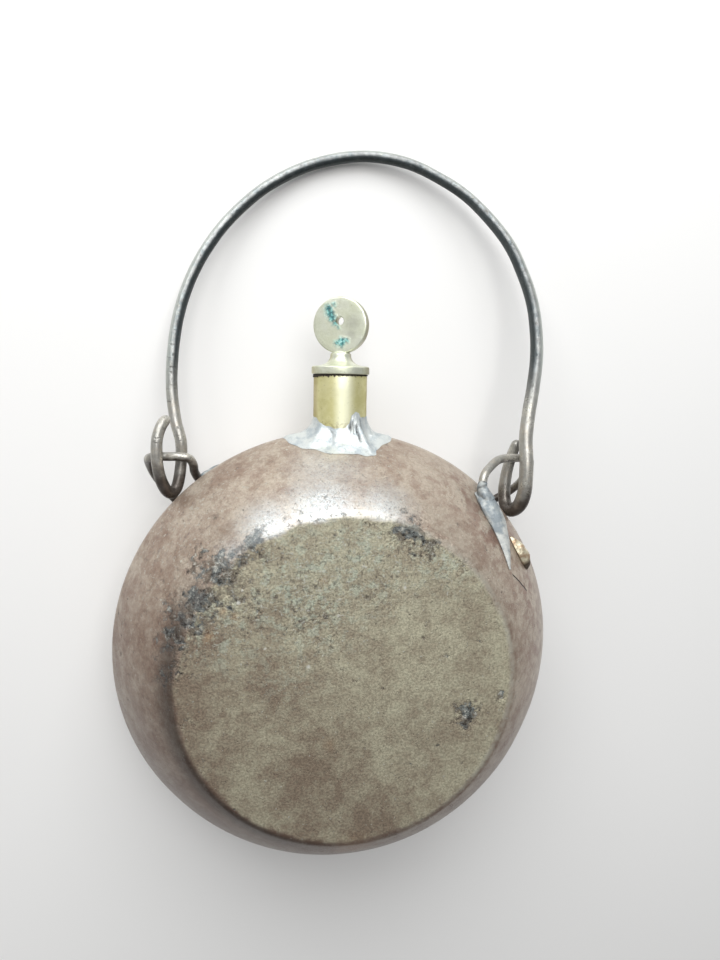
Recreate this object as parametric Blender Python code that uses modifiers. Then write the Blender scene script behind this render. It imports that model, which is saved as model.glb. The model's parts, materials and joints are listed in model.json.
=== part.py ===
"""Iron oil flask with a brass screw stopper and a wire bail.

Frame: the flask lies on its back face. The origin is the centre of that face, +Z is the
body's axis, +Y points to the neck and X runs across the shoulders. Sizes are in metres.
"""

import math

import bmesh
import bpy
from mathutils import Matrix, Vector

# Body: two dished shells
BODY_THICKNESS = 0.048
RIM_CORNER_RADIUS = 0.05542      # where the two flanks would meet if the rim were sharp
FACE_RADIUS = 0.0386             # flat disc, to the sharp corner
FLANK_BOW = 0.0019               # how far the flank bows out of a straight cone
EDGE_ROUND = 0.0032
RIM_ROUND = 0.007
WALL = 0.0012
BODY_STEPS = 64

# Joint of the shells at the rim
SEAM_RIB = 0.0008
SEAM_BAND_WIDTH = 0.008
SEAM_BAND_THICKNESS = 0.0009

# Clearances
FIT_GAP = 0.0003                 # between pieces that are soldered, let in or lie on each other
SEAT_GAP = 0.00015               # between flat faces that press on each other
THREAD_PLAY = 0.00036
LINK_PLAY = 0.0005               # between a bail strand and the eye wire it hangs on
FOOT_EASE = 0.0005               # extra lift where an eye's wire leaves the body
REST_GAP = 0.0006                # from the bail's crown to the surface that the flask lies on

# Neck
NECK_RADIUS = 0.0065
NECK_STAND = 0.0129              # from the rim to the mouth
NECK_INSET = 0.0025              # from the rim inwards
NECK_BORE = 0.0041
MOUTH_CHAMFER = 0.0005

# Solder round the neck
NECK_SOLDER_FOOT = 0.0054        # how far it spreads beyond the neck
NECK_SOLDER_RISE = 0.0040        # how far it climbs the neck above the rim
NECK_SOLDER_TOP = 0.0007
NECK_SOLDER_LIP = 0.0046         # how far it laps over the flanks, below the rim
NECK_SOLDER_FLATTENING = 0.80    # its spread to front and back, as a share of that to the sides

# Stopper
SHANK_RADIUS = 0.0046
THREAD_DEPTH = 0.0005
THREAD_PITCH = 0.0015
SHANK_LENGTH = 0.0098            # below the mouth
TAPER_LENGTH = 0.0012
WASHER_THICKNESS = 0.0006
WASHER_RADIUS = 0.0063
FLANGE_RADIUS = 0.0070
FLANGE_HEIGHT = 0.0022
FLANGE_CHAMFER = 0.0003
STEM_RADIUS = 0.0026
STEM_SINK = 0.0009              # of the stem's end into the disc
STEM_HEIGHT = 0.0027             # from the flange to the disc
DISC_RADIUS = 0.0067
DISC_THICKNESS = 0.0026
DISC_CHAMFER = 0.00035
DISC_TURN = math.radians(24)     # about the neck, to the left as seen from the front
DISC_HOLE_RADIUS = 0.0010
DISC_HOLE_RISE = 0.0010          # above the disc's centre

# Wires
BAIL_WIRE = 0.0030
EYE_WIRE = 0.0022
WIRE_SIDES_RESOLUTION = 2

# Hinge: the line through the eyes' upper strands, parallel to X
LEFT_LINK_ANGLE = math.radians(49.8)   # round the rim, up from the line across the shoulders
HINGE_DROP = 0.0017              # below the plane of the rim
LEFT_STAND = 0.0083              # of the left link beyond the rim
RIGHT_STAND = 0.0121
CROWN_HEIGHT = 0.0776            # from the hinge to the crown, along Y

# Each link: turn of the bail's loop out of the plane of its arms, and the loop's outline as (share of
# half its width, height above the hinge, shift to the side, both in wire units), from the tip to the arm
LEFT_LOOP_TURN = math.radians(52)
LEFT_LOOP_LEAN = 0.0
LEFT_LOOP = ((-0.06, 9.6, 0.0), (-0.64, 7.6, 0.0), (-1.00, 4.8, 0.0), (-1.08, 1.8, 0.0), (-1.03, -1.7, 0.0),
             (-0.80, -5.1, 0.0), (-0.34, -8.0, 0.0), (0.14, -8.9, 0.0), (0.58, -7.6, 0.0), (0.88, -4.1, 0.0),
             (1.01, 0.0, 0.0), (0.97, 3.7, 0.0))
RIGHT_LOOP_TURN = math.radians(80)
RIGHT_LOOP_LEAN = 0.12
RIGHT_LOOP = ((-0.75, 4.4, 1.1), (-0.88, 2.2, 0.7), (-1.00, -0.8, 0.3), (-1.06, -4.4, 0.0),
              (-1.04, -8.4, 0.0), (-0.82, -11.6, 0.2), (-0.30, -13.6, 0.4), (0.30, -13.4, 0.8),
              (0.82, -11.5, 1.2), (1.06, -8.0, 1.3), (1.10, -4.0, 0.9), (1.00, 0.0, 0.5))
RIGHT_LOOP_WIDENING = 1.17       # the right loop is opened wider than the left one

# Thickness of the bail along its points, as shares of BAIL_WIRE: drawn thin at both tips
BAIL_SWELL = ((0.0, 0.84), (0.08, 0.90), (0.24, 0.93), (0.36, 1.00), (0.55, 1.00), (0.66, 1.14),
              (0.82, 1.24), (0.90, 1.12), (1.0, 0.86))

# The arch between the loops: share of the way across, and share of the crown's height
ARCH = ((0.012, 0.110), (0.001, 0.200), (0.001, 0.299), (0.012, 0.415), (0.038, 0.528), (0.085, 0.646),
        (0.158, 0.764), (0.257, 0.871), (0.366, 0.945), (0.470, 0.985), (0.562, 1.000), (0.652, 0.992),
        (0.736, 0.963), (0.842, 0.897), (0.911, 0.830), (0.984, 0.729), (1.026, 0.628), (1.054, 0.518),
        (1.062, 0.415), (1.058, 0.325), (1.044, 0.235), (1.026, 0.145), (1.014, 0.062))

# Eyes: feet as (degrees round the rim, distance from the rim's plane in flank units), the free
# stretch as offsets from the link's centre, in wire units
LEFT_EYE_UPPER_FOOT = ((121.0, -8.6), (125.0, -7.9), (129.0, -7.1))
LEFT_EYE_STRETCH = ((5.6, -4.2, -3.4), (5.4, -2.1, -1.6), (4.5, -0.5, -0.4), (2.4, 0.0, 0.0),
                    (-0.8, 0.0, 0.0), (-3.4, 0.0, -0.1), (-5.0, -0.5, -1.3), (-5.5, -1.5, -3.9),
                    (-5.4, -3.3, -6.8), (-4.6, -5.9, -9.5), (-2.9, -8.9, -11.6), (-0.6, -12.0, -12.6))
LEFT_EYE_LOWER_FOOT = ((139.0, -13.6), (143.0, -14.0), (147.0, -14.2))
RIGHT_EYE_FRONT_FOOT = ((38.8, 12.6), (42.6, 10.6), (46.5, 8.4))
RIGHT_EYE_STRETCH = ((-11.8, -5.4, 8.7), (-10.9, -3.2, 7.5), (-8.9, -1.6, 5.6), (-6.6, -0.4, 3.6),
                     (-4.6, 0.0, 2.1), (-2.4, 0.1, 0.8), (0.1, 0.0, 0.0), (2.6, -0.1, -0.7),
                     (4.4, -1.2, -2.2), (5.0, -3.8, -4.9), (4.7, -7.2, -8.6), (2.9, -10.3, -11.6),
                     (-0.8, -12.8, -13.1), (-4.6, -15.6, -13.7))
RIGHT_EYE_REAR_FOOT = ((36.5, -15.5), (32.0, -15.6), (28.0, -15.6))

# Solder over the feet: (degrees, flank units from the rim's plane, radius of the bead in wire units)
RIGHT_FRONT_BEAD = ((50.6, 6.8, 1.8), (48.6, 8.2, 2.7), (45.6, 9.8, 3.0), (42.0, 11.6, 2.7),
                    (38.2, 13.6, 2.0), (34.8, 15.3, 1.2), (31.6, 16.8, 0.5))
RIGHT_REAR_BEAD = ((38.6, -15.2, 1.9), (36.0, -15.5, 2.1), (31.5, -15.6, 2.1), (27.0, -15.6, 1.8),
                   (24.6, -15.5, 1.0))
LEFT_UPPER_BEAD = ((130.6, -6.9, 1.9), (128.0, -7.3, 2.1), (124.0, -8.1, 2.1), (120.0, -8.9, 1.8),
                   (117.8, -9.2, 1.0))
LEFT_LOWER_BEAD = ((137.6, -13.5, 1.9), (140.0, -13.8, 2.1), (144.0, -14.1, 2.1), (148.2, -14.2, 1.8),
                   (150.6, -14.1, 1.0))
BEAD_RISE = 0.6                  # of a bead's middle above the body, as a share of its radius
FRONT_BEAD_RISE = 0.15
REPAIR_BEAD = ((34.6, 8.6, 0.7), (32.6, 8.8, 1.5), (30.2, 9.0, 1.9), (27.9, 8.9, 1.8), (25.2, 8.7, 1.0))

MIDDLE = BODY_THICKNESS / 2
WIRE_UNIT = (BAIL_WIRE + EYE_WIRE) / 5.2
FLANK_UNIT = BODY_THICKNESS / 48


def arc_geometry():
    """Centre and radius of the front flank's arc, in (radius, height)."""
    start = Vector((FACE_RADIUS, BODY_THICKNESS))
    end = Vector((RIM_CORNER_RADIUS, MIDDLE))
    chord = end - start
    radius = (chord.length ** 2 / 4 + FLANK_BOW ** 2) / (2 * FLANK_BOW)
    outward = Vector((-chord.y, chord.x)).normalized()
    centre = (start + end) / 2 + outward * (FLANK_BOW - radius)
    return centre, radius


ARC_CENTRE, ARC_RADIUS = arc_geometry()
FACE_ANGLE = math.atan2(BODY_THICKNESS - ARC_CENTRE.y, FACE_RADIUS - ARC_CENTRE.x)
RIM_ANGLE = math.atan2(MIDDLE - ARC_CENTRE.y, RIM_CORNER_RADIUS - ARC_CENTRE.x)
RIM_RADIUS = RIM_CORNER_RADIUS - RIM_ROUND * (1 / math.cos(RIM_ANGLE) - 1)
MOUTH_Y = RIM_RADIUS + NECK_STAND
HINGE_Y = (RIM_RADIUS + LEFT_STAND) * math.sin(LEFT_LINK_ANGLE)
HINGE_Z = MIDDLE - HINGE_DROP


def front_profile(lift=0.0, face_rings=2, flank_points=6):
    """Front half of the body's outline from the axis to the rim, lifted along its normal."""
    top = BODY_THICKNESS + lift
    edge_half = (math.pi / 2 - FACE_ANGLE) / 2
    edge_cut = EDGE_ROUND * math.tan(edge_half)
    edge_centre = Vector((FACE_RADIUS - edge_cut, BODY_THICKNESS - EDGE_ROUND))
    rim_centre = Vector((RIM_RADIUS - RIM_ROUND, MIDDLE))
    points = [(edge_centre.x * ring / face_rings, top) for ring in range(face_rings)]
    for step in range(4):
        angle = math.pi / 2 - 2 * edge_half * step / 3
        reach = EDGE_ROUND + lift
        points.append((edge_centre.x + reach * math.cos(angle), edge_centre.y + reach * math.sin(angle)))
    start = FACE_ANGLE - edge_cut / ARC_RADIUS
    end = RIM_ANGLE + RIM_ROUND * math.tan(RIM_ANGLE) / ARC_RADIUS
    for step in range(1, flank_points):
        angle = start + (end - start) * step / flank_points
        reach = ARC_RADIUS + lift
        points.append((ARC_CENTRE.x + reach * math.cos(angle), ARC_CENTRE.y + reach * math.sin(angle)))
    for step in range(4):
        angle = RIM_ANGLE * (3 - step) / 3
        reach = RIM_ROUND + lift
        points.append((rim_centre.x + reach * math.cos(angle), rim_centre.y + reach * math.sin(angle)))
    return points


def cut_profile(points, height):
    """The part of a falling outline above a height, ending exactly there."""
    kept = []
    for before, after in zip(points, points[1:]):
        kept.append(before)
        if after[1] <= height:
            share = (before[1] - height) / (before[1] - after[1])
            kept.append((before[0] + (after[0] - before[0]) * share, height))
            return kept
    return points


def on_flank(degrees, units, lift):
    """Point above the flank at an angle round the rim and a distance from the rim's plane."""
    offset = units * FLANK_UNIT
    height = MIDDLE + abs(offset)
    angle = math.asin((height - ARC_CENTRE.y) / ARC_RADIUS)
    reach = ARC_RADIUS + lift
    radius = ARC_CENTRE.x + reach * math.cos(angle)
    rise = ARC_CENTRE.y + reach * math.sin(angle) - MIDDLE
    turn = math.radians(degrees)
    return Vector((radius * math.cos(turn), radius * math.sin(turn), MIDDLE + math.copysign(rise, offset)))


def new_collection(name):
    collection = bpy.data.collections.new(name)
    bpy.context.scene.collection.children.link(collection)
    return collection


def clear_scene():
    for item in list(bpy.data.objects):
        bpy.data.objects.remove(item, do_unlink=True)


def material(name, colour, roughness, metallic):
    made = bpy.data.materials.new(name)
    made.use_nodes = True
    shader = made.node_tree.nodes["Principled BSDF"]
    shader.inputs["Base Color"].default_value = (*colour, 1.0)
    shader.inputs["Roughness"].default_value = roughness
    shader.inputs["Metallic"].default_value = metallic
    return made


def add_object(name, data, collection, finish=None):
    item = bpy.data.objects.new(name, data)
    collection.objects.link(item)
    if finish is not None:
        item.data.materials.append(finish)
    return item


def smooth(item, degrees=32):
    item.data.shade_smooth()
    item.data.set_sharp_from_angle(angle=math.radians(degrees))


def turned(name, profile, steps, collection, finish=None, closed=False):
    """A profile in X and Z, turned round Z."""
    mesh = bpy.data.meshes.new(name)
    edges = [(index, index + 1) for index in range(len(profile) - 1)]
    if closed:
        edges.append((len(profile) - 1, 0))
    mesh.from_pydata([(radius, 0.0, height) for radius, height in profile], edges, [])
    item = add_object(name, mesh, collection, finish)
    screw = item.modifiers.new("turn", "SCREW")
    screw.axis = "Z"
    screw.steps = steps
    screw.render_steps = steps
    screw.use_merge_vertices = True
    screw.merge_threshold = 0.00001
    screw.use_smooth_shade = True
    return item


def as_cutter(item):
    item.hide_render = True
    item.display_type = "WIRE"
    return item


def subtract(item, cutter):
    step = item.modifiers.new(f"less {cutter.name}", "BOOLEAN")
    step.operation = "DIFFERENCE"
    step.object = cutter


def baked(item):
    """Replace an object's modifiers by the mesh that they make, with doubles merged."""
    graph = bpy.context.evaluated_depsgraph_get()
    mesh = bpy.data.meshes.new_from_object(item.evaluated_get(graph))
    shape = bmesh.new()
    shape.from_mesh(mesh)
    bmesh.ops.remove_doubles(shape, verts=shape.verts, dist=0.000002)
    shape.to_mesh(mesh)
    shape.free()
    item.modifiers.clear()
    old = item.data
    item.data = mesh
    bpy.data.meshes.remove(old)
    return item


def smooth_route(points, steps):
    """Points along a smooth curve through the given ones (Catmull-Rom)."""
    padded = [points[0] * 2 - points[1], *points, points[-1] * 2 - points[-2]]
    route = []
    for index in range(1, len(padded) - 2):
        before, start, end, after = padded[index - 1:index + 3]
        for step in range(steps):
            share = step / steps
            route.append(0.5 * (2 * start + (end - before) * share
                                + (2 * before - 5 * start + 4 * end - after) * share ** 2
                                + (3 * start - before - 3 * end + after) * share ** 3))
    route.append(points[-1])
    return route


def smooth_values(values, steps):
    """Values along the same curve, eased from one to the next."""
    eased = []
    for start, end in zip(values, values[1:]):
        eased += [start + (end - start) * step / steps for step in range(steps)]
    return [*eased, values[-1]]


def wire(name, route, radii, collection, finish=None):
    """A round bar along a route, as a closed mesh."""
    curve = bpy.data.curves.new(name, "CURVE")
    curve.dimensions = "3D"
    curve.twist_mode = "MINIMUM"
    curve.bevel_depth = 1.0
    curve.bevel_resolution = WIRE_SIDES_RESOLUTION
    curve.use_fill_caps = True
    spline = curve.splines.new("POLY")
    spline.points.add(len(route) - 1)
    for point, place, radius in zip(spline.points, route, radii):
        point.co = (*place, 1.0)
        point.radius = radius
    drawn = add_object(f"{name} curve", curve, collection)
    graph = bpy.context.evaluated_depsgraph_get()
    mesh = bpy.data.meshes.new_from_object(drawn.evaluated_get(graph))
    bpy.data.objects.remove(drawn, do_unlink=True)
    shape = bmesh.new()
    shape.from_mesh(mesh)
    bmesh.ops.remove_doubles(shape, verts=shape.verts, dist=0.00001)
    bmesh.ops.recalc_face_normals(shape, faces=shape.faces)
    shape.to_mesh(mesh)
    shape.free()
    item = add_object(name, mesh, collection, finish)
    smooth(item, 50)
    return item


def ridge_height(turn, height):
    """How far the thread's ridge stands out there, from 0 to 1."""
    phase = (height / THREAD_PITCH - turn / (2 * math.pi)) % 1.0
    return 1.0 - abs(2.0 * phase - 1.0)


def threaded_solid(name, profile, thread_from, thread_to, depth, collection, finish=None, steps=24):
    """A turned solid whose stretch between two heights carries a ridge."""
    shape = bmesh.new()
    verts = [shape.verts.new((radius, 0.0, height)) for radius, height in profile]
    edges = [shape.edges.new(pair) for pair in zip(verts, verts[1:])]
    bmesh.ops.spin(shape, geom=verts + edges, cent=(0, 0, 0), axis=(0, 0, 1), angle=2 * math.pi,
                   steps=steps, use_merge=True)
    bmesh.ops.remove_doubles(shape, verts=shape.verts, dist=0.000005)
    fade = THREAD_PITCH / 2
    for vert in shape.verts:
        height = vert.co.z
        if thread_from < height < thread_to:
            share = min(1.0, (height - thread_from) / fade, (thread_to - height) / fade)
            turn = math.atan2(vert.co.y, vert.co.x)
            radius = math.hypot(vert.co.x, vert.co.y)
            grow = 1.0 + depth * share * ridge_height(turn, height) / radius
            vert.co.x *= grow
            vert.co.y *= grow
    bmesh.ops.recalc_face_normals(shape, faces=shape.faces)
    mesh = bpy.data.meshes.new(name)
    shape.to_mesh(mesh)
    shape.free()
    item = add_object(name, mesh, collection, finish)
    smooth(item)
    return item


def thread_rows(low, high, radius):
    """Rows of a threaded stretch, six to each turn of the thread."""
    rows = round((high - low) / THREAD_PITCH * 6)
    return [(radius, low + (high - low) * row / rows) for row in range(rows + 1)]


def stand_along_neck(item, distance=0.0):
    """Turn an object's Z to the neck's direction and put its origin on the neck's axis."""
    item.rotation_euler = (-math.pi / 2, 0.0, 0.0)
    item.location = (0.0, MOUTH_Y + distance, MIDDLE)
    return item


def round_bar(name, radius, low, high, steps, collection):
    return turned(name, [(0.0, high), (radius, high), (radius, low), (0.0, low)], steps, collection)


def flip(profile):
    """The same outline at the back, from the rim to the axis."""
    return [(radius, BODY_THICKNESS - height) for radius, height in reversed(profile)]


def make_shells(parts, cutters, iron, olive):
    edge = (SEAM_RIB / 2 + FIT_GAP) / (1 - WALL / RIM_ROUND)
    outline = cut_profile(front_profile(), MIDDLE + edge)
    front = turned("front_shell", outline, BODY_STEPS, parts, olive)
    back = turned("back_shell", flip(outline), BODY_STEPS, parts, iron)
    hole = as_cutter(round_bar("neck hole", NECK_RADIUS + FIT_GAP, -2 * (NECK_STAND + NECK_INSET),
                               NECK_STAND, 40, cutters))
    stand_along_neck(hole)
    for shell in (front, back):
        wall = shell.modifiers.new("wall", "SOLIDIFY")
        wall.thickness = WALL
        wall.offset = -1.0
        wall.use_even_offset = True
        subtract(shell, hole)
    return hole


def make_seam(parts, hole, braze):
    band = front_profile(-(WALL + FIT_GAP))
    half = [point for point in band if point[1] < MIDDLE + SEAM_BAND_WIDTH / 2]
    rib = SEAM_RIB / 2
    upper = [point for point in cut_profile(half, MIDDLE + rib)]
    lower = [(radius, BODY_THICKNESS - height) for radius, height in reversed(upper)]
    inner = upper[0][0] - SEAM_BAND_THICKNESS
    outline = [*upper, (RIM_RADIUS, MIDDLE + rib), (RIM_RADIUS, MIDDLE - rib), *lower,
               (inner, lower[-1][1]), (inner, upper[0][1])]
    seam = turned("rim_seam", outline, BODY_STEPS, parts, braze, closed=True)
    subtract(seam, hole)


def body_outline(lift):
    outline = front_profile(lift)
    return [*outline[:-1], *flip(outline)]


def make_neck(parts, cutters, brass):
    inner_end = -(NECK_STAND + NECK_INSET)
    thread_low = -(SHANK_LENGTH + THREAD_PITCH)
    neck = turned("neck_tube", [(0.0, 0.0), (NECK_RADIUS - MOUTH_CHAMFER / 2, 0.0),
                                (NECK_RADIUS, -MOUTH_CHAMFER / 2), (NECK_RADIUS, inner_end),
                                (0.0, inner_end)], 40, parts, brass)
    stand_along_neck(neck)
    groove = SHANK_RADIUS - THREAD_DEPTH + THREAD_PLAY
    mouth = groove + MOUTH_CHAMFER
    profile = [(0.0, 0.002), (mouth, 0.002), (mouth, 0.0), (groove, -MOUTH_CHAMFER)]
    profile += list(reversed(thread_rows(thread_low, -MOUTH_CHAMFER - THREAD_PITCH / 6, groove)))
    profile += [(NECK_BORE, thread_low - 0.0004), (NECK_BORE, inner_end - 0.002), (0.0, inner_end - 0.002)]
    bore = threaded_solid("neck bore", profile, thread_low, THREAD_PITCH, THREAD_DEPTH, cutters)
    stand_along_neck(as_cutter(bore))
    subtract(neck, bore)


def make_neck_solder(parts, cutters, body_cutter, tin):
    inner = NECK_RADIUS + FIT_GAP
    rim = -NECK_STAND
    top = rim + NECK_SOLDER_RISE
    shoulder = inner + NECK_SOLDER_FOOT
    low = rim - NECK_SOLDER_LIP
    profile = [(0.0, top), (inner + NECK_SOLDER_TOP * 0.6, top)]
    for step in range(7):
        share = step / 6
        sweep = 1 - math.cos(share * math.pi / 2)
        radius = inner + NECK_SOLDER_TOP + (shoulder - inner - NECK_SOLDER_TOP) * sweep
        fall = (NECK_SOLDER_RISE - NECK_SOLDER_TOP / 2) * math.sin(share * math.pi / 2)
        height = top - NECK_SOLDER_TOP / 2 - fall
        profile.append((radius, height))
    for step in range(1, 5):
        angle = math.pi / 2 * step / 4
        profile.append((shoulder + NECK_SOLDER_TOP * math.sin(angle),
                        rim - (NECK_SOLDER_LIP * (1 - math.cos(angle)))))
    profile += [(shoulder, low - NECK_INSET), (0.0, low - NECK_INSET)]
    solder = baked(turned("neck_solder", profile, 40, parts, tin))
    solder.data.transform(Matrix.Diagonal((1.0, NECK_SOLDER_FLATTENING, 1.0, 1.0)))
    smooth(solder)
    stand_along_neck(solder)
    bore = as_cutter(round_bar("solder bore", inner, low - 2 * NECK_STAND, NECK_STAND, 40, cutters))
    stand_along_neck(bore)
    subtract(solder, bore)
    subtract(solder, body_cutter)


def make_stopper(parts, cutters, brass):
    flange_low = WASHER_THICKNESS + 2 * SEAT_GAP
    flange_top = flange_low + FLANGE_HEIGHT
    disc_low = flange_top + STEM_HEIGHT
    disc_centre = disc_low + DISC_RADIUS
    root = SHANK_RADIUS - THREAD_DEPTH
    thread_high = -0.0008
    thread_low = -SHANK_LENGTH + TAPER_LENGTH
    # the stem's end lies inside the disc, which is thinner than the stem
    profile = [(0.0, disc_low + STEM_SINK), (DISC_THICKNESS * 0.42, disc_low + STEM_SINK),
               (STEM_RADIUS * 0.8, disc_low + STEM_SINK / 3), (STEM_RADIUS, disc_low - 0.0002)]
    for step in range(1, 6):
        share = step / 5
        flare = (FLANGE_RADIUS - 0.0012 - STEM_RADIUS) * (1 - math.cos(share * math.pi / 2))
        fall = (disc_low - 0.0002 - flange_top - 0.0001) * math.sin(share * math.pi / 2)
        profile.append((STEM_RADIUS + flare, disc_low - 0.0002 - fall))
    profile += [(FLANGE_RADIUS - FLANGE_CHAMFER, flange_top), (FLANGE_RADIUS, flange_top - FLANGE_CHAMFER),
                (FLANGE_RADIUS, flange_low + FLANGE_CHAMFER), (FLANGE_RADIUS - FLANGE_CHAMFER, flange_low),
                (root, flange_low)]
    profile += list(reversed(thread_rows(thread_low, thread_high, root)))
    profile += [(root * 0.72, -SHANK_LENGTH), (0.0, -SHANK_LENGTH)]
    stopper = threaded_solid("stopper", profile, thread_low, thread_high, THREAD_DEPTH, parts, brass)
    stand_along_neck(stopper)

    half = DISC_THICKNESS / 2
    edge = DISC_RADIUS - DISC_CHAMFER
    outline = [(0.0, half), (edge, half), (DISC_RADIUS, half - DISC_CHAMFER),
               (DISC_RADIUS, DISC_CHAMFER - half), (edge, -half), (0.0, -half)]
    disc = turned("thumb disc", outline, 48, cutters)
    hole = round_bar("disc hole", DISC_HOLE_RADIUS, -DISC_THICKNESS, DISC_THICKNESS, 20, cutters)
    for item, rise in ((disc, 0.0), (hole, DISC_HOLE_RISE)):
        as_cutter(item)
        item.matrix_world = (Matrix.Translation((0.0, MOUTH_Y + disc_centre + rise, MIDDLE))
                             @ Matrix.Rotation(-DISC_TURN, 4, "Y"))
    join = stopper.modifiers.new("thumb disc", "BOOLEAN")
    join.operation = "UNION"
    join.object = disc
    subtract(stopper, hole)


def make_washer(parts, leather):
    low = SEAT_GAP
    high = SEAT_GAP + WASHER_THICKNESS
    inner = SHANK_RADIUS + FIT_GAP
    profile = [(inner, high), (WASHER_RADIUS, high), (WASHER_RADIUS, low), (inner, low)]
    washer = turned("stopper_washer", profile, 40, parts, leather, closed=True)
    stand_along_neck(washer)


def link_centre(side, stand):
    reach = RIM_RADIUS + stand
    return Vector((side * math.sqrt(reach ** 2 - HINGE_Y ** 2), HINGE_Y, HINGE_Z))


def loop_points(centre, outline, turn, forward, lean, widening):
    """A loop's points: its width lies at an angle to the plane of the bail's arms."""
    strand = (BAIL_WIRE + EYE_WIRE) / 2 + LINK_PLAY
    depth = strand * widening
    across = depth / math.tan(turn)
    points = []
    for share, units, shift in outline:
        height = units * WIRE_UNIT
        sideways = share * across + lean * height + shift * WIRE_UNIT
        points.append(centre + Vector((sideways, height, forward * share * depth)))
    return points


def swell_at(share):
    """The bail's thickness at a share of the way along its points."""
    for (start, first), (end, last) in zip(BAIL_SWELL, BAIL_SWELL[1:]):
        if share <= end:
            return first + (last - first) * (share - start) / (end - start)
    return BAIL_SWELL[-1][1]


def make_bail(parts, iron):
    left = link_centre(-1, LEFT_STAND)
    right = link_centre(1, RIGHT_STAND)
    left_loop = loop_points(left, LEFT_LOOP, LEFT_LOOP_TURN, -1, LEFT_LOOP_LEAN, 1.0)
    right_loop = loop_points(right, RIGHT_LOOP, RIGHT_LOOP_TURN, 1, RIGHT_LOOP_LEAN, RIGHT_LOOP_WIDENING)
    right_loop.reverse()
    crown_z = BAIL_WIRE / 2 + REST_GAP
    crown = Vector((left.x + 0.5 * (right.x - left.x), HINGE_Y + CROWN_HEIGHT, crown_z))
    normal = (left_loop[-1] - crown).cross(right_loop[0] - crown)
    arch = []
    for across, rise in ARCH:
        x = left.x + across * (right.x - left.x)
        y = HINGE_Y + rise * CROWN_HEIGHT
        z = crown.z - (normal.x * (x - crown.x) + normal.y * (y - crown.y)) / normal.z
        arch.append(Vector((x, y, max(z, crown_z))))
    route = smooth_route([*left_loop, *arch, *right_loop], 3)
    radii = [BAIL_WIRE / 2 * swell_at(index / (len(route) - 1)) for index in range(len(route))]
    bail = wire("bail", route, radii, parts, iron)
    bail.data.transform(Matrix.Translation((0.0, -HINGE_Y, -HINGE_Z)))
    bail.location = (0.0, HINGE_Y, HINGE_Z)


def foot_points(foot, leaving):
    """Points of a foot on the flank, eased off it at the end where the wire leaves."""
    lift = EYE_WIRE / 2 + FIT_GAP
    points = []
    for index, (degrees, offset) in enumerate(foot):
        ease = FOOT_EASE if index == leaving else FOOT_EASE / 4
        points.append(on_flank(degrees, offset, lift + ease))
    return points


def eye_route(centre, first_foot, stretch, last_foot):
    points = foot_points(first_foot, len(first_foot) - 1)
    points += [centre + Vector(offset) * WIRE_UNIT for offset in stretch]
    points += foot_points(last_foot, 0)
    return smooth_route(points, 3)


def lengthened(route, distance):
    """A route with both ends drawn out straight."""
    first = route[0] + (route[0] - route[1]).normalized() * distance
    last = route[-1] + (route[-1] - route[-2]).normalized() * distance
    return [first, *route[1:-1], last]


def make_eye(name, route, parts, cutters, iron):
    radius = EYE_WIRE / 2
    count = len(route)
    tips = 4
    radii = [radius * min(1.0, 0.7 + 0.3 * min(index, count - 1 - index) / tips) for index in range(count)]
    wire(name, route, radii, parts, iron)
    clearance = wire(f"{name} clearance", lengthened(route, FIT_GAP), [value + FIT_GAP for value in radii],
                     cutters)
    return as_cutter(clearance)


def make_bead(name, bead, cut_by, parts, tin, rise=BEAD_RISE):
    """A bead of solder along the flank, hollowed by what it covers."""
    places = [on_flank(degrees, offset, radius * WIRE_UNIT * rise) for degrees, offset, radius in bead]
    route = smooth_route(places, 3)
    radii = smooth_values([radius * WIRE_UNIT for _, _, radius in bead], 3)
    item = wire(name, route, radii, parts, tin)
    for cutter in cut_by:
        subtract(item, cutter)
    return item


def main():
    clear_scene()
    parts = new_collection("oil_flask")
    cutters = new_collection("cutters")
    front_iron = material("front iron", (0.165, 0.135, 0.105), 0.55, 0.75)
    back_iron = material("back iron", (0.165, 0.125, 0.11), 0.5, 0.75)
    wire_iron = material("wire iron", (0.17, 0.155, 0.14), 0.45, 0.85)
    brass = material("neck brass", (0.55, 0.43, 0.16), 0.32, 1.0)
    pale_brass = material("stopper brass", (0.62, 0.55, 0.30), 0.35, 1.0)
    tin = material("tin solder", (0.66, 0.66, 0.66), 0.35, 0.9)
    spelter = material("braze", (0.50, 0.40, 0.20), 0.45, 0.9)
    leather = material("washer leather", (0.03, 0.02, 0.015), 0.8, 0.0)

    hole = make_shells(parts, cutters, back_iron, front_iron)
    make_seam(parts, hole, spelter)
    body_cutter = as_cutter(turned("body clearance", body_outline(FIT_GAP), BODY_STEPS, cutters))
    make_neck(parts, cutters, brass)
    make_neck_solder(parts, cutters, body_cutter, tin)
    make_stopper(parts, cutters, pale_brass)
    make_washer(parts, leather)
    make_bail(parts, wire_iron)

    left = link_centre(-1, LEFT_STAND)
    right = link_centre(1, RIGHT_STAND)
    left_route = eye_route(left, LEFT_EYE_UPPER_FOOT, LEFT_EYE_STRETCH, LEFT_EYE_LOWER_FOOT)
    right_route = eye_route(right, RIGHT_EYE_FRONT_FOOT, RIGHT_EYE_STRETCH, RIGHT_EYE_REAR_FOOT)
    left_cutter = make_eye("left_eye", left_route, parts, cutters, wire_iron)
    right_cutter = make_eye("right_eye", right_route, parts, cutters, wire_iron)
    make_bead("left_eye_upper_solder", LEFT_UPPER_BEAD, (body_cutter, left_cutter), parts, tin)
    make_bead("left_eye_lower_solder", LEFT_LOWER_BEAD, (body_cutter, left_cutter), parts, tin)
    make_bead("right_eye_front_solder", RIGHT_FRONT_BEAD, (body_cutter, right_cutter), parts, tin,
              rise=FRONT_BEAD_RISE)
    make_bead("right_eye_rear_solder", RIGHT_REAR_BEAD, (body_cutter, right_cutter), parts, tin)
    make_bead("rim_repair", REPAIR_BEAD, (body_cutter,), parts, spelter, rise=0.0)


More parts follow.
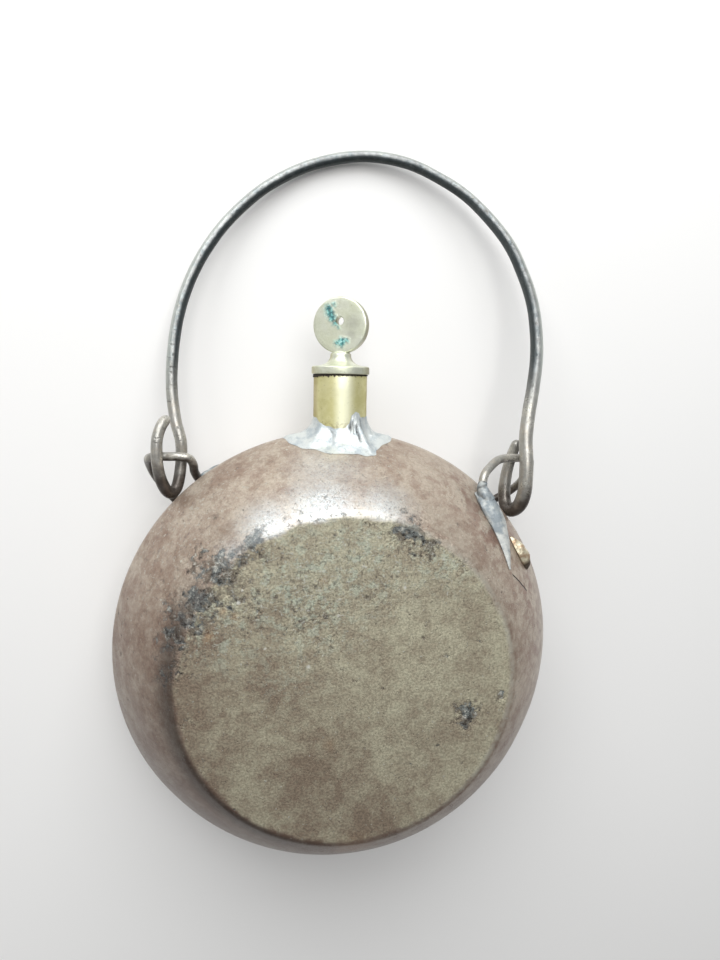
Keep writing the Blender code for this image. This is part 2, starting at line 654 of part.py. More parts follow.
main()
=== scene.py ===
import json
from math import asin, atan2, copysign, cos, exp, hypot, pi, radians, sin, sqrt, tan

import bmesh
import bpy
from mathutils import Matrix, Vector, noise

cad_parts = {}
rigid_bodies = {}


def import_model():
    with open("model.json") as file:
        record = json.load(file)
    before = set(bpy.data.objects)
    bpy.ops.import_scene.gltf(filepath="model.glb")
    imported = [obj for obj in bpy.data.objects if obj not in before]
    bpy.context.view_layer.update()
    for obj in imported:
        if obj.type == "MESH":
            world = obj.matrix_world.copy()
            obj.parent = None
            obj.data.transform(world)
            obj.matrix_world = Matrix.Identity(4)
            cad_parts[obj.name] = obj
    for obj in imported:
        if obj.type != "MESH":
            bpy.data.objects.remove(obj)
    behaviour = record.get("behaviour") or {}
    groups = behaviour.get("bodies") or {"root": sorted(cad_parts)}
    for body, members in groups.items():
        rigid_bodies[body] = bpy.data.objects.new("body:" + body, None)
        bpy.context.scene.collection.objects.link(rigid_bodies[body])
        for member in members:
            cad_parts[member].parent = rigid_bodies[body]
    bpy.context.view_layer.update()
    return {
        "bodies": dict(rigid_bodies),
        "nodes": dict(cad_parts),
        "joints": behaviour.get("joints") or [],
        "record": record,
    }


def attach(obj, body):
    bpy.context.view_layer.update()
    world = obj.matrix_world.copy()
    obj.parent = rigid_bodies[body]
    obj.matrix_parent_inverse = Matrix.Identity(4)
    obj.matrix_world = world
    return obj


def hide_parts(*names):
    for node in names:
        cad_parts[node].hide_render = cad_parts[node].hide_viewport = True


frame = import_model()
mm = 0.001


# helpers for shapes

def mixed(low, high, share):
    return low + (high - low) * share


def eased(share):
    share = min(1, max(0, share))
    return share * share * (3 - 2 * share)


def keyed(keys, at, soften=eased):
    # a value between (place, value) keys
    if at <= keys[0][0]:
        return keys[0][1]
    for (start, first), (end, last) in zip(keys, keys[1:]):
        if at <= end:
            return mixed(first, last, soften((at - start) / (end - start)))
    return keys[-1][1]


def smoothRoute(points, steps):
    # Catmull-Rom through the points
    padded = [points[0] * 2 - points[1], *points, points[-1] * 2 - points[-2]]
    route = []
    for index in range(1, len(padded) - 2):
        before, start, end, after = padded[index - 1:index + 3]
        for step in range(steps):
            share = step / steps
            route.append(0.5 * (2 * start + (end - before) * share + (2 * before - 5 * start + 4 * end
                - after) * share ** 2 + (3 * start - before - 3 * end + after) * share ** 3))
    route.append(points[-1])
    return route


def ringed(rows, steps, place, closeEnds=True):
    # a circle of edges, extruded row by row, each new row put in its place
    shape = bmesh.new()
    ring = list(bmesh.ops.create_circle(shape, cap_ends=False, segments=steps, radius=1)["verts"])
    for index, vert in enumerate(ring):
        vert.co = place(0, index / steps)
    firstEdges = [shape.edges.get((ring[index - 1], ring[index])) for index in range(steps)]
    edges = firstEdges
    for row in range(1, rows):
        made = bmesh.ops.extrude_edge_only(shape, edges=edges)["geom"]
        fresh = [item for item in made if isinstance(item, bmesh.types.BMVert)]
        order = {vert: index for index, vert in enumerate(ring)}
        following = [None] * steps
        for vert in fresh:
            for edge in vert.link_edges:
                other = edge.other_vert(vert)
                if other in order:
                    following[order[other]] = vert
        ring = following
        for index, vert in enumerate(ring):
            vert.co = place(row, index / steps)
        edges = [shape.edges.get((ring[index - 1], ring[index])) for index in range(steps)]
    if closeEnds:
        bmesh.ops.edgeloop_fill(shape, edges=firstEdges)
        bmesh.ops.edgeloop_fill(shape, edges=edges)
    return shape


def turnedShape(profile, steps):
    # a profile of (radius, height) turned round Z
    shape = bmesh.new()
    verts = [shape.verts.new((radius, 0, height)) for radius, height in profile]
    edges = [shape.edges.new(pair) for pair in zip(verts, verts[1:])]
    if profile[0][0] > 0 and profile[-1][0] > 0:
        edges.append(shape.edges.new((verts[-1], verts[0])))
    bmesh.ops.spin(shape, geom=verts + edges, cent=(0, 0, 0), axis=(0, 0, 1), angle=2 * pi, steps=steps,
        use_merge=True)
    bmesh.ops.remove_doubles(shape, verts=shape.verts, dist=1e-06)
    bmesh.ops.recalc_face_normals(shape, faces=shape.faces)
    return shape


def routeFrames(route):
    # a side and an up vector along a route, carried without twist
    tangents = []
    for index in range(len(route)):
        ahead = route[min(index + 1, len(route) - 1)]
        behind = route[max(index - 1, 0)]
        tangents.append((ahead - behind).normalized())
    side = tangents[0].orthogonal().normalized()
    frames = []
    for tangent in tangents:
        side = (side - tangent * side.dot(tangent)).normalized()
        frames.append((side, tangent.cross(side)))
    return frames


def quarter(radius, height, size, low=False):
    # the quarter round between a turned side and the face above it, or below it
    turns = [pi / 2 * step / 4 for step in range(5)]
    if low:
        return [(radius - size + size * cos(turn), height + size - size * sin(turn)) for turn in turns]
    return [(radius - size + size * sin(turn), height - size + size * cos(turn)) for turn in turns]


def placed(shape, turn=None, move=(0, 0, 0), centre=(0, 0, 0)):
    # turned, moved and brought from millimetres to metres
    if turn:
        bmesh.ops.rotate(shape, verts=shape.verts, cent=centre, matrix=Matrix.Rotation(turn[0], 3, turn[1]))
    bmesh.ops.translate(shape, verts=shape.verts, vec=move)
    bmesh.ops.scale(shape, verts=shape.verts, vec=(mm, mm, mm))
    return shape


def grown(vert, factor):
    vert.co.x *= factor
    vert.co.y *= factor


def keyOf(place):
    return tuple(round(part, 3) for part in place)


def stain(shape, dirt):
    # keeps how dirty each vert is, looked up by its place
    layer = shape.verts.layers.float.new("dirt")
    for vert in shape.verts:
        vert[layer] = dirt.get(keyOf(vert.co), 0)


def linked(name, data):
    item = bpy.data.objects.new(name, data)
    bpy.context.scene.collection.objects.link(item)
    return item


def objectOf(name, shape):
    mesh = bpy.data.meshes.new(name)
    shape.to_mesh(mesh)
    shape.free()
    return linked(name, mesh)


def finished(name, shape, body, finish, replaced, sharp, cutBy=None, joinWith=None):
    bmesh.ops.remove_doubles(shape, verts=shape.verts, dist=1e-6)
    bmesh.ops.recalc_face_normals(shape, faces=shape.faces)
    piece = objectOf(name, shape)
    for tool, work in ((joinWith, "UNION"), (cutBy, "DIFFERENCE")):
        if tool is None:
            continue
        step = piece.modifiers.new(work.lower(), "BOOLEAN")
        step.operation = work
        step.object = tool
        graph = bpy.context.evaluated_depsgraph_get()
        made = bpy.data.meshes.new_from_object(piece.evaluated_get(graph))
        piece.modifiers.clear()
        piece.data = made
        bpy.data.objects.remove(tool)
    mesh = piece.data
    mesh.materials.clear()
    mesh.materials.append(finish)
    mesh.shade_smooth()
    mesh.set_sharp_from_angle(angle=radians(sharp))
    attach(piece, body)
    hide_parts(*replaced)


# helpers for materials

def feed(node, values):
    for key, value in values.items():
        socket = node.inputs[key]
        if isinstance(value, Link):
            value.tree.links.new(value.socket, socket)
        else:
            socket.default_value = (*value, 1) if socket.type == "RGBA" else value


def put(tree, kind, values=None, **settings):
    node = tree.nodes.new("ShaderNode" + kind)
    for key, value in settings.items():
        setattr(node, key, value)
    feed(node, values or {})
    return node


class Link:
    # a node's output, to be reckoned with as a number or a vector
    def __init__(self, socket):
        self.socket = socket
        self.tree = socket.id_data

    def made(self, kind, *values, output=0, **settings):
        return Link(put(self.tree, kind, dict(enumerate((self, *values))), **settings).outputs[output])

    def reckon(self, operation, *others, output=0):
        if self.socket.type == "VALUE":
            return self.made("Math", *others, operation=operation)
        others = [(part,) * 3 if isinstance(part, (int, float)) else part for part in others]
        return self.made("VectorMath", *others, output=output, operation=operation)

    def __add__(self, other):
        return self.reckon("ADD", other)

    def __sub__(self, other):
        return self.reckon("SUBTRACT", other)

    def __rsub__(self, other):
        return self * -1 + other

    def __mul__(self, other):
        return self.reckon("MULTIPLY", other)

    def most(self, other):
        return self.reckon("MAXIMUM", other)

    def size(self):
        return self.reckon("ABSOLUTE")

    def length(self):
        return self.reckon("LENGTH", output="Value")

    def dot(self, other):
        return self.reckon("DOT_PRODUCT", other, output="Value")

    def parts(self):
        return [Link(part) for part in put(self.tree, "SeparateXYZ", {0: self}).outputs]

    def clamped(self):
        self.socket.node.use_clamp = True
        return self

    def ramp(self, low, high, outLow=0, outHigh=1, kind="SMOOTHSTEP"):
        return self.made("MapRange", low, high, outLow, outHigh, interpolation_type=kind)

    def speckle(self, scale, detail=2, rough=0.5, output=0):
        # noise at a place, or along a single number
        key, kind = ("W", "1D") if self.socket.type == "VALUE" else ("Vector", "3D")
        values = {key: self, "Scale": scale, "Detail": detail, "Roughness": rough}
        return Link(put(self.tree, "TexNoise", values, noise_dimensions=kind).outputs[output])

    def waver(self, scale, detail, low, high, rough=0.5):
        return self.speckle(scale, detail, rough).ramp(0.3, 0.7, low, high)


def blend(share, first, second):
    return Link(put(share.tree, "Mix", {0: share, 6: first, 7: second}, data_type="RGBA").outputs[2])


def between(share, first, second):
    return Link(put(share.tree, "Mix", {0: share, 2: first, 3: second}).outputs[0])


def newGroup(name, inputs, outputs):
    # inputs start as a colour, as a number or, for a vector, as nothing
    group = bpy.data.node_groups.new(name, "ShaderNodeTree")
    for label, start in inputs.items():
        kind = "Vector" if start is None else "Color" if isinstance(start, tuple) else "Float"
        socket = group.interface.new_socket(label, in_out="INPUT", socket_type="NodeSocket" + kind)
        if start is not None:
            socket.default_value = (*start, 1) if kind == "Color" else start
    for label in outputs:
        kind = "Color" if label == "Color" else "Float"
        group.interface.new_socket(label, in_out="OUTPUT", socket_type="NodeSocket" + kind)
    given = {socket.name: Link(socket) for socket in group.nodes.new("NodeGroupInput").outputs if socket.name}
    return group, given, group.nodes.new("NodeGroupOutput")


def useGroup(group, vector, **values):
    node = put(vector.tree, "Group", {"Vector": vector, **values}, node_tree=group)
    return {socket.name: Link(socket) for socket in node.outputs}


def newFinish(name, metallic):
    # a material, its shader and the place on the object in millimetres
    finish = bpy.data.materials.new(name)
    finish.use_nodes = True
    shader = finish.node_tree.nodes["Principled BSDF"]
    feed(shader, {"Metallic": metallic})
    return finish, shader, Link(put(finish.node_tree, "TexCoord").outputs["Object"]) * 1000


def finishWith(finish, shader, colour, roughness, height, distance):
    bump = put(finish.node_tree, "Bump", {"Height": height, "Strength": 1, "Distance": distance})
    feed(shader, {"Base Color": colour, "Roughness": roughness, "Normal": Link(bump.outputs[0])})
    return finish


def normalOf(vector):
    return Link(put(vector.tree, "TexCoord").outputs["Normal"])


def dirtOf(vector):
    return Link(put(vector.tree, "Attribute", attribute_name="dirt", attribute_type="GEOMETRY").outputs["Fac"])


# a soft round mark at a place
def makeSpotGroup():
    group, given, out = newGroup("softSpot", {"Vector": None, "Centre": None, "Radius": 3, "Edge": 1.5}, ("Mask",))
    away = (given["Vector"] - given["Centre"]).length()
    feed(out, {"Mask": away.ramp(given["Radius"] + given["Edge"], given["Radius"] - given["Edge"])})
    return group


# the grain, mottling and pits of old sheet iron
def makeIronGroup():
    black = (0, 0, 0)
    group, given, out = newGroup("oldIron", {
        "Vector": None, "Light": black, "Dark": black, "Third": black, "Scale": (0.05, 0.045, 0.042),
        "Thirds": 0.5, "Pitting": 0, "Tone": 0.5, "Mottling": 0.5, "Flecks": 0.5, "Sheen": 0.45, "Grain": 0.2},
        ("Color", "Roughness", "Height"))
    vector = given["Vector"]
    broad = vector.speckle(0.06, 3, 0.55)
    patches = vector.speckle(0.62, 6, 0.66)
    third = (vector + (31, 17, 5)).speckle(0.42, 6, 0.72)
    grain = vector.speckle(1.9, 4, 0.72)
    clouds = vector.speckle(0.19, 4, 0.6)
    tone = broad.ramp(0.36, 0.64, 0, 0.3) + patches.ramp(0.4, 0.6, 0, 0.28) + clouds.ramp(0.38, 0.62, 0, 0.42)
    tone = ((tone - 0.5) * given["Mottling"] + given["Tone"]).clamped()
    colour = blend(tone, given["Dark"], given["Light"])
    colour = blend(third.ramp(0.5, 0.58) * given["Thirds"], colour, given["Third"])
    lift = given["Pitting"] * 0.25 + given["Grain"]
    colour = colour * (grain.ramp(0.38, 0.62, -1, 1) * lift + 1)
    # flecks, more of them where wanted: dark scale and pale rubbed grains
    crumbs = (vector + (3, 41, 9)).speckle(0.95, 5, 0.8)
    often = given["Flecks"] * 0.075
    dark = (crumbs + often).ramp(0.6, 0.68)
    pale = (crumbs - often).ramp(0.385, 0.33)
    colour = blend(dark * 0.5, colour, given["Scale"])
    colour = blend(pale * 0.7, colour, (0.62, 0.62, 0.54))
    # crust: grey scale full of hollows and pale crumbs, over a brown stain
    breakUp = vector.speckle(0.42, 7, 0.7)
    brown = (given["Pitting"] * 0.36 + breakUp).ramp(0.58, 0.72)
    colour = blend(brown * 0.45, colour, (0.135, 0.098, 0.072))
    crust = (given["Pitting"] * 0.32 + breakUp).ramp(0.65, 0.71)
    inside = (vector + (11, 2, 23)).speckle(0.85, 7, 0.85)
    hue = (vector + (7, 29, 3)).speckle(0.33, 3, 0.6)
    crustColour = blend(hue.ramp(0.42, 0.58), (0.255, 0.215, 0.165), (0.215, 0.24, 0.235))
    crustColour = blend(inside.ramp(0.485, 0.425), crustColour, (0.024, 0.022, 0.021))
    crustColour = blend(inside.ramp(0.545, 0.585), crustColour, (0.74, 0.73, 0.65))
    colour = blend(crust * hue.ramp(0.36, 0.5, 0.55, 0.9), colour, crustColour)
    rough = (given["Sheen"] + grain.ramp(0.3, 0.7, -0.05, 0.07) + crust * 0.06).clamped()
    height = (patches * 1.8 + grain * 2.4) * given["Grain"] + dark * -0.25 + pale * 0.25 + brown * -0.45
    height = height + crust * ((inside - 0.52) * 4)
    feed(out, {"Color": colour, "Roughness": rough, "Height": height})
    return group


# handled brass: faint tool marks, tarnish and dark grime
def makeBrassGroup():
    group, given, out = newGroup(
        "handledBrass", {"Vector": None, "Bright": (0, 0, 0), "Tarnish": (0, 0, 0), "Amount": 0.5, "Sheen": 0.3},
        ("Color", "Roughness", "Height"))
    vector = given["Vector"]
    cloud = vector.speckle(0.28, 5, 0.62)
    specks = vector.speckle(1.7, 3, 0.6)
    colour = blend(cloud.ramp(0.34, 0.66) * given["Amount"], given["Bright"], given["Tarnish"])
    dots = specks.ramp(0.64, 0.72) * 0.35
    colour = blend(dots, colour, (0.09, 0.07, 0.03))
    rough = (given["Sheen"] + cloud.ramp(0.3, 0.7, -0.03, 0.12) + dots * 0.5).clamped()
    # turning marks run round the neck's axis, so they repeat along Y
    height = vector.parts()[1].speckle(9, 3, 0.7) * 0.35 + specks * 0.35 + dots * -0.8
    feed(out, {"Color": colour, "Roughness": rough, "Height": height})
    return group


spotGroup = makeSpotGroup()
ironGroup = makeIronGroup()
brassGroup = makeBrassGroup()


def spots(vector, marks):
    # the strongest of several soft marks of (x, y, z, radius, edge, strength)
    total = None
    for *centre, radius, edge, strength in marks:
        mask = useGroup(spotGroup, vector, Centre=centre, Radius=radius, Edge=edge)["Mask"] * strength
        total = total.most(mask) if total else mask
    return total


def ragged(vector, amount, scale):
    # the place, pushed about by noise, so that marks get uneven edges
    return vector + (vector.speckle(scale, 4, 0.6, "Color") - 0.5) * amount


shellLook = {
    "faceLight": (0.48, 0.45, 0.325), "faceDark": (0.25, 0.195, 0.14), "faceThird": (0.49, 0.54, 0.43),
    "faceScale": (0.11, 0.102, 0.092), "flankLight": (0.47, 0.4, 0.32),
    "flankDark": (0.235, 0.155, 0.11), "flankThird": (0.185, 0.095, 0.07),
    "flankScale": (0.11, 0.085, 0.092), "rust": (0.4, 0.19, 0.07), "faceEdge": (38.4, 37.2),
    "cornerLine": (37, 37.9, 38.2, 39.1),
    # pitted places: the upper left edge of the face, then the patches at the right
    "pitted": ((-27.5, 26, 47, 4.2, 4.5, 0.9), (-32, 19.8, 47, 4.4, 4.5, 0.95),
        (-36.8, 11, 45.5, 3.6, 4.5, 0.9), (-21, 31.6, 47, 2.6, 4, 0.8), (-24.4, 29, 47, 3, 4, 0.8),
        (-34.8, 15.6, 46, 3.4, 4, 0.9), (-26.5, 19, 48, 3, 5, 0.62), (-12, 35, 47.5, 1, 3, 0.3),
        (-2, 36.4, 48, 1, 3, 0.3), (12.5, 34.6, 47.5, 3.4, 4, 0.88), (17.5, 31, 47.5, 2.2, 3.4, 0.75),
        (25, 27, 47.5, 1.2, 3, 0.4), (28, -8.4, 48, 2.8, 3.6, 0.92), (35.4, -5, 48, 1.2, 2.6, 0.8),
        (-22, 21, 48, 5, 9, 0.4), (-37.8, 4, 45, 3, 4, 0.85), (-33, 27.5, 44.5, 3.4, 3.5, 0.66),
        (-38.5, 17, 44, 2.6, 3.5, 0.66), (10.1, -12.9, 48, 0.5, 1.2, 0.7), (17, 10.5, 48, 0.6, 1.4, 0.7),
        (-9, 16, 48, 6, 10, 0.33), (7, 20, 48, 3, 7, 0.3), (-35, -7, 47, 1.2, 3, 0.5)),
    "scatter": ((-10, 22, 48, 12, 12, 1), (2, 28, 48, 10, 10, 0.9), (-28, 14, 47, 8, 8, 0.8),
        (20, 30, 46, 8, 8, 0.8), (-14, 4, 48, 5, 10, 0.5)),
    "rustMarks": ((-30.6, 12, 47.8, 0.8, 1.4, 0.9), (-25, 16.5, 48, 0.5, 1, 0.55),
        (-6, 24, 48, 0.5, 1.4, 0.45), (-4, -14, 48, 0.8, 1.6, 0.3), (2, -41, 44.5, 4, 4, 0.35),
        (-27.5, 17.6, 48, 0.4, 0.9, 0.6)),
    "paleSpecks": ((-24.2, 19.5, 48, 0.42, 0.22, 1), (-23.4, 22.2, 48, 0.25, 0.2, 0.8),
        (-18.5, 9, 48, 0.25, 0.2, 0.8), (8.4, -19.5, 48, 0.22, 0.2, 0.6), (-9, 4.5, 48, 0.4, 0.25, 0.7),
        (-36, -4.5, 47, 0.45, 0.25, 0.8), (12.2, 22, 48, 0.3, 0.25, 0.8), (-2.5, 16, 48, 0.3, 0.25, 0.7)),
}


def ironStart(name):
    # a shell's finish, with one on the flat face, nothing on the flank and a wavering border between them
    finish, shader, vector = newFinish(name, 0.45)
    radius = (vector * (1, 1, 0)).length()
    onFace = (radius + vector.waver(0.2, 3, -0.5, 0.5)).ramp(*shellLook["faceEdge"])
    return finish, shader, vector, ragged(vector, 4.5, 0.3), radius, onFace


def ironTones(onFace):
    return {tone: blend(onFace, shellLook["flank" + tone], shellLook["face" + tone])
            for tone in ("Light", "Dark", "Third", "Scale")}


def cornerHighlight(vector, radius, low, high):
    # a painted highlight: a bright line where the flat face turns into the flank
    start, full, fading, end = shellLook["cornerLine"]
    line = radius.ramp(start, full) * radius.ramp(end, fading)
    return line * vector.speckle(0.5, 4).ramp(0.4, 0.55, low, high)


def hairline(vector, places):
    # a thin line through a few places
    line = None
    for start, end in zip(places, places[1:]):
        span = Vector(end) - Vector(start)
        offset = vector - tuple((Vector(start) + Vector(end)) / 2)
        along = offset.dot(tuple(span.normalized()))
        away = offset.length()
        across = (away * away - along * along).most(0).reckon("SQRT")
        mark = across.ramp(0.28, 0.12) * along.size().ramp(span.length * 0.54, span.length * 0.46)
        line = line.most(mark) if line else mark
    return line


def frontIronFinish():
    look = shellLook
    finish, shader, vector, rough, radius, onFace = ironStart("frontIron")
    # the face is browner at the lower left and greener at the upper right, and painted light makes it lighter
    # towards the upper right and darker at the lower left
    slope = vector.dot((0.35, 0.94, 0))
    faceToneAndLight = slope.ramp(-40, 42, 0.5, 0.78, kind="LINEAR")
    brown = spots(rough, ((-16, -2, 48, 7, 10, 0.5), (-20, 14, 48, 4, 6, 0.35), (-8, -22, 48, 9, 10, 0.45),
        (2, 8, 48, 3, 5, 0.35), (-34, -4, 48, 8, 8, 0.62), (-33, 10, 48, 6, 7, 0.55),
        (-30, -16, 48, 6, 8, 0.45), (6, -34, 48, 8, 9, 0.4)))
    scatter = spots(rough, look["scatter"])
    # the flank has brown blotches under the right eye, and painted shade makes it darker downwards
    blotches = spots(rough, ((37, 31, 36, 9, 6, 0.75), (27, 40, 34, 6, 5, 0.55), (44, 18, 36, 8, 6, 0.75),
        (47, 2, 36, 8, 8, 0.6)))
    flankBlotchesAndShade = blotches * 0.12 + slope.ramp(-50, 46, 0.15, 0.85, kind="LINEAR")
    flankFlecks = spots(rough, ((-34, 32, 34, 14, 10, 0.55), (0, 48, 34, 14, 10, 0.35),
        (34, 38, 32, 10, 8, 0.45)))
    iron = useGroup(ironGroup, vector, **ironTones(onFace), Pitting=spots(rough, look["pitted"]),
        Tone=between(onFace, flankBlotchesAndShade, faceToneAndLight - brown), Flecks=between(onFace, flankFlecks, scatter),
        Thirds=between(onFace, blotches * 0.3 + 0.22, scatter * 0.75), Mottling=onFace.ramp(0, 1, 1.05, 0.85),
        Sheen=onFace.ramp(0, 1, 0.33, 0.46), Grain=onFace.ramp(0, 1, 0.1, 0.2))
    offFace = 1 - onFace
    pink = (vector + (9, 4, 2)).speckle(0.17, 5, 0.62).ramp(0.47, 0.58)
    colour = blend(pink * offFace * (blotches * 0.8 + 0.12), iron["Color"], (0.215, 0.115, 0.085))
    # painted shade: darker towards the bottom, mostly on the flank
    low = slope.ramp(8, -46, kind="LINEAR") * offFace.ramp(0, 1, 0.1, 0.5)
    colour = blend(low, colour, (0.05, 0.032, 0.026))
    # painted shade, a dark band under the corner at the left, and a painted highlight line on the corner at the
    # right
    corner = radius.ramp(37.6, 38.8) * radius.ramp(44, 39.6)
    side = vector.dot((-0.92, -0.4, 0))
    colour = blend(corner * side.ramp(12, 34, 0, 0.62), colour, (0.035, 0.03, 0.026))
    corner = cornerHighlight(vector, radius, 0.4, 1) * side.ramp(10, -26, 0, 0.5)
    colour = blend(corner, colour, (0.5, 0.48, 0.4))
    # worn bright under the neck, with a painted highlight there along the corner
    wearAndHighlight = spots(rough, ((-6, 39, 46, 7, 7, 0.85), (-17.5, 35.2, 46, 5, 6, 0.85),
        (-25, 30.5, 46.5, 2, 4, 0.6), (7, 39.5, 46, 5, 6, 0.7), (-4, 46, 38, 6, 8, 0.5)))
    wearAndHighlight = wearAndHighlight * offFace * vector.speckle(1.6, 4, 0.7).ramp(0.4, 0.56, 0.6)
    colour = blend(wearAndHighlight, colour, (0.58, 0.63, 0.64))
    rust = spots(ragged(vector, 1.6, 0.8), look["rustMarks"])
    colour = blend(rust * 0.7, colour, look["rust"])
    colour = blend(spots(ragged(vector, 0.6, 1.6), look["paleSpecks"]), colour, (0.78, 0.77, 0.7))
    crack = hairline(ragged(vector, 0.5, 0.5), ((39.8, 22.5, 41), (42.1, 20.2, 39.5), (44.7, 17.5, 37.9)))
    colour = blend(crack, colour, (0.03, 0.015, 0.01))
    height = iron["Height"] + crack * -1.5 + rust * 0.15
    return finishWith(finish, shader, colour, iron["Roughness"] + wearAndHighlight * -0.06, height, 0.0002)


def backIronFinish():
    finish, shader, vector, rough, radius, onFace = ironStart("backIron")
    pitting = spots(rough, ((20, -24, 0, 5, 5, 0.8), (-12, 30, 0, 3, 4, 0.6), (-34, -8, 1, 3.5, 4, 0.7),
        (8, 6, 0, 2, 4, 0.5), (30, 20, 1, 3, 4, 0.6)))
    slope = vector.dot((-0.3, 0.95, 0))
    iron = useGroup(ironGroup, vector, **ironTones(onFace), Pitting=pitting, Mottling=0.9, Thirds=0.3, Flecks=0.4,
        Tone=slope.ramp(-50, 50, 0.4, 0.72, kind="LINEAR"), Sheen=onFace.ramp(0, 1, 0.35, 0.46),
        Grain=onFace.ramp(0, 1, 0.1, 0.2))
    # a painted highlight along the corner
    colour = blend(cornerHighlight(vector, radius, 0.1, 0.5), iron["Color"], (0.46, 0.45, 0.38))
    rust = spots(ragged(vector, 1.6, 0.8), ((6, -12, 0, 1.5, 1.5, 0.6), (-20, 10, 0, 1, 1.2, 0.6)))
    colour = blend(rust * 0.6, colour, shellLook["rust"])
    return finishWith(finish, shader, colour, iron["Roughness"], iron["Height"], 0.0002)


wireLook = {
    "light": (0.36, 0.37, 0.365), "dark": (0.09, 0.082, 0.076), "third": (0.34, 0.285, 0.22),
    "bluish": (0.13, 0.175, 0.19), "wearAndHighlight": (0.6, 0.59, 0.52), "grimeAndShade": (0.045, 0.036, 0.03),
    "pale": (0.52, 0.49, 0.42), "litOutside": (0.54, 0.57, 0.53), "inside": (0.03, 0.04, 0.042),
    "bottomShade": (0.06, 0.046, 0.038), "nick": (0.07, 0.06, 0.055),
}


def wireFinish():
    look = wireLook
    finish, shader, vector = newFinish("wireIron", 0.55)
    across, along, _ = vector.parts()
    # paler and browner towards the loops, bluer at the crown
    low = along.ramp(76, 56)
    iron = useGroup(ironGroup, vector, Light=look["light"], Dark=look["dark"],
        Third=blend(low, look["bluish"], look["third"]), Thirds=0.45, Pitting=0, Tone=0.58, Mottling=0.5,
        Flecks=0.3, Sheen=0.33, Grain=0.11)
    rubbed = vector.speckle(0.2, 5, 0.65).ramp(0.5, 0.62) * low.ramp(0, 1, 0.06, 0.5)
    colour = blend(rubbed, iron["Color"], look["wearAndHighlight"])
    colour = blend(low * 0.4, colour, look["pale"])
    # painted shade on the undersides
    facing = normalOf(vector)
    undersideShade = (facing.dot((0.35, -0.85, -0.25)) + vector.waver(0.5, 4, -0.25, 0.25)).ramp(-0.05, 0.65, 0, 0.9)
    colour = blend(undersideShade, colour, look["grimeAndShade"])
    # painted light and shade on the arch: dark inside, pale outside
    inwards = ((-2, 70, 12) - vector).reckon("NORMALIZE")
    inner = facing.dot(inwards) + vector.waver(0.5, 4, -0.12, 0.12)
    arch = 1 - low
    colour = blend(inner.ramp(-0.05, -0.65, 0, 0.75) * arch, colour, look["litOutside"])
    colour = blend(inner.ramp(-0.25, 0.4, 0, 0.86) * arch, colour, look["inside"])
    # and painted shade makes the bottoms of both loops brown-black
    lowest = along + vector.waver(0.3, 4, -2, 2) + across.ramp(-10, 10, -5, 1)
    colour = blend(lowest.ramp(44.5, 37, 0, 0.9), colour, look["bottomShade"])
    # file nicks across the left arm
    nicks = (along + vector.speckle(0.6, 2)).speckle(1.3, 2, 0.6).ramp(0.6, 0.7)
    nicks = nicks * (across.ramp(-34, -37) * along.ramp(90, 80)) * vector.speckle(0.45, 2).ramp(0.48, 0.58)
    colour = blend(nicks * 0.4, colour, look["nick"])
    return finishWith(finish, shader, colour, iron["Roughness"] + rubbed * -0.1, iron["Height"] + nicks * -0.8,
        0.00011)


brassLook = {
    "neckBright": (0.74, 0.7, 0.38), "neckTarnish": (0.6, 0.56, 0.25),
    "stopperBright": (0.8, 0.82, 0.68), "stopperTarnish": (0.58, 0.6, 0.44),
    "verdigris": (0.2, 0.5, 0.47), "verdigrisDark": (0.02, 0.105, 0.115),
    "sideShade": (0.26, 0.16, 0.05),
    # on the disc: right, up, radius, edge, strength
    "verdigrisMarks": ((-2.9, 3.9, 1.05, 0.7, 1), (-2.5, 2.8, 1.2, 0.7, 1), (-1.9, 1.7, 1.05, 0.6, 1),
        (-1.5, 4.9, 0.6, 0.6, 0.8), (-1.1, 0.5, 0.8, 0.6, 0.95), (-0.4, -0.4, 0.45, 0.5, 0.8),
        (-0.7, -4.3, 0.75, 0.6, 0.95), (0.5, -3.9, 1.15, 0.6, 1), (1.7, -3.8, 0.7, 0.6, 0.9),
        (0.6, -5, 0.6, 0.5, 0.8)),
}


def neckBrassFinish():
    look = brassLook
    finish, shader, vector = newFinish("neckBrass", 0.62)
    brass = useGroup(brassGroup, vector, Bright=look["neckBright"], Tarnish=look["neckTarnish"], Amount=0.75,
        Sheen=0.44)
    across, along, _ = vector.parts()
    # a painted highlight, pale down the front, and painted shade, brown at the sides
    colour = blend((across - 0.2).size().ramp(3.2, 0.6, 0, 0.62), brass["Color"], (0.92, 0.93, 0.76))
    colour = blend(across.size().ramp(5.4, 6.5, 0, 0.5), colour, look["sideShade"])
    # black grime under the flange and brown in the last millimetres above the solder
    grimeAndShade = (along + vector.waver(1.1, 4, -0.7, 0.5, 0.7)).ramp(68.25, 68.5, 0, 0.85)
    colour = blend(grimeAndShade, colour, (0.02, 0.018, 0.012))
    low = along.ramp(58.5, 56) * vector.speckle(1.4, 3).ramp(0.45, 0.6)
    colour = blend(low * 0.5, colour, (0.3, 0.24, 0.12))
    return finishWith(finish, shader, colour, brass["Roughness"] + grimeAndShade * 0.35, brass["Height"], 0.00006)


stopperShape = {
    "shankRadius": 4.6, "threadDepth": 0.5, "pitch": 1.5, "shankLength": 9.8, "taper": 1.2, "flangeLow": 0.86,
    "flangeRadius": 7, "flangeHeight": 1.79, "stemRadius": 2.5, "discLow": 5.8,
    "discRadius": 6.7, "discThickness": 2.6, "discEdge": 0.35, "discTurn": 24, "holeRadius": 1,
    "holeRise": 1, "mouth": 67.86, "axisHeight": 24, "runOut": 0.75,
}


def onDisc(right, up):
    # a place on the front of the stopper's disc, in millimetres from its centre
    made = stopperShape
    turn = radians(made["discTurn"])
    centre = Vector((0, made["mouth"] + made["discLow"] + made["discRadius"], made["axisHeight"]))
    across = Vector((cos(turn), 0, sin(turn)))
    facing = Vector((-sin(turn), 0, cos(turn)))
    return centre + across * right + Vector((0, up, 0)) + facing * (made["discThickness"] / 2)


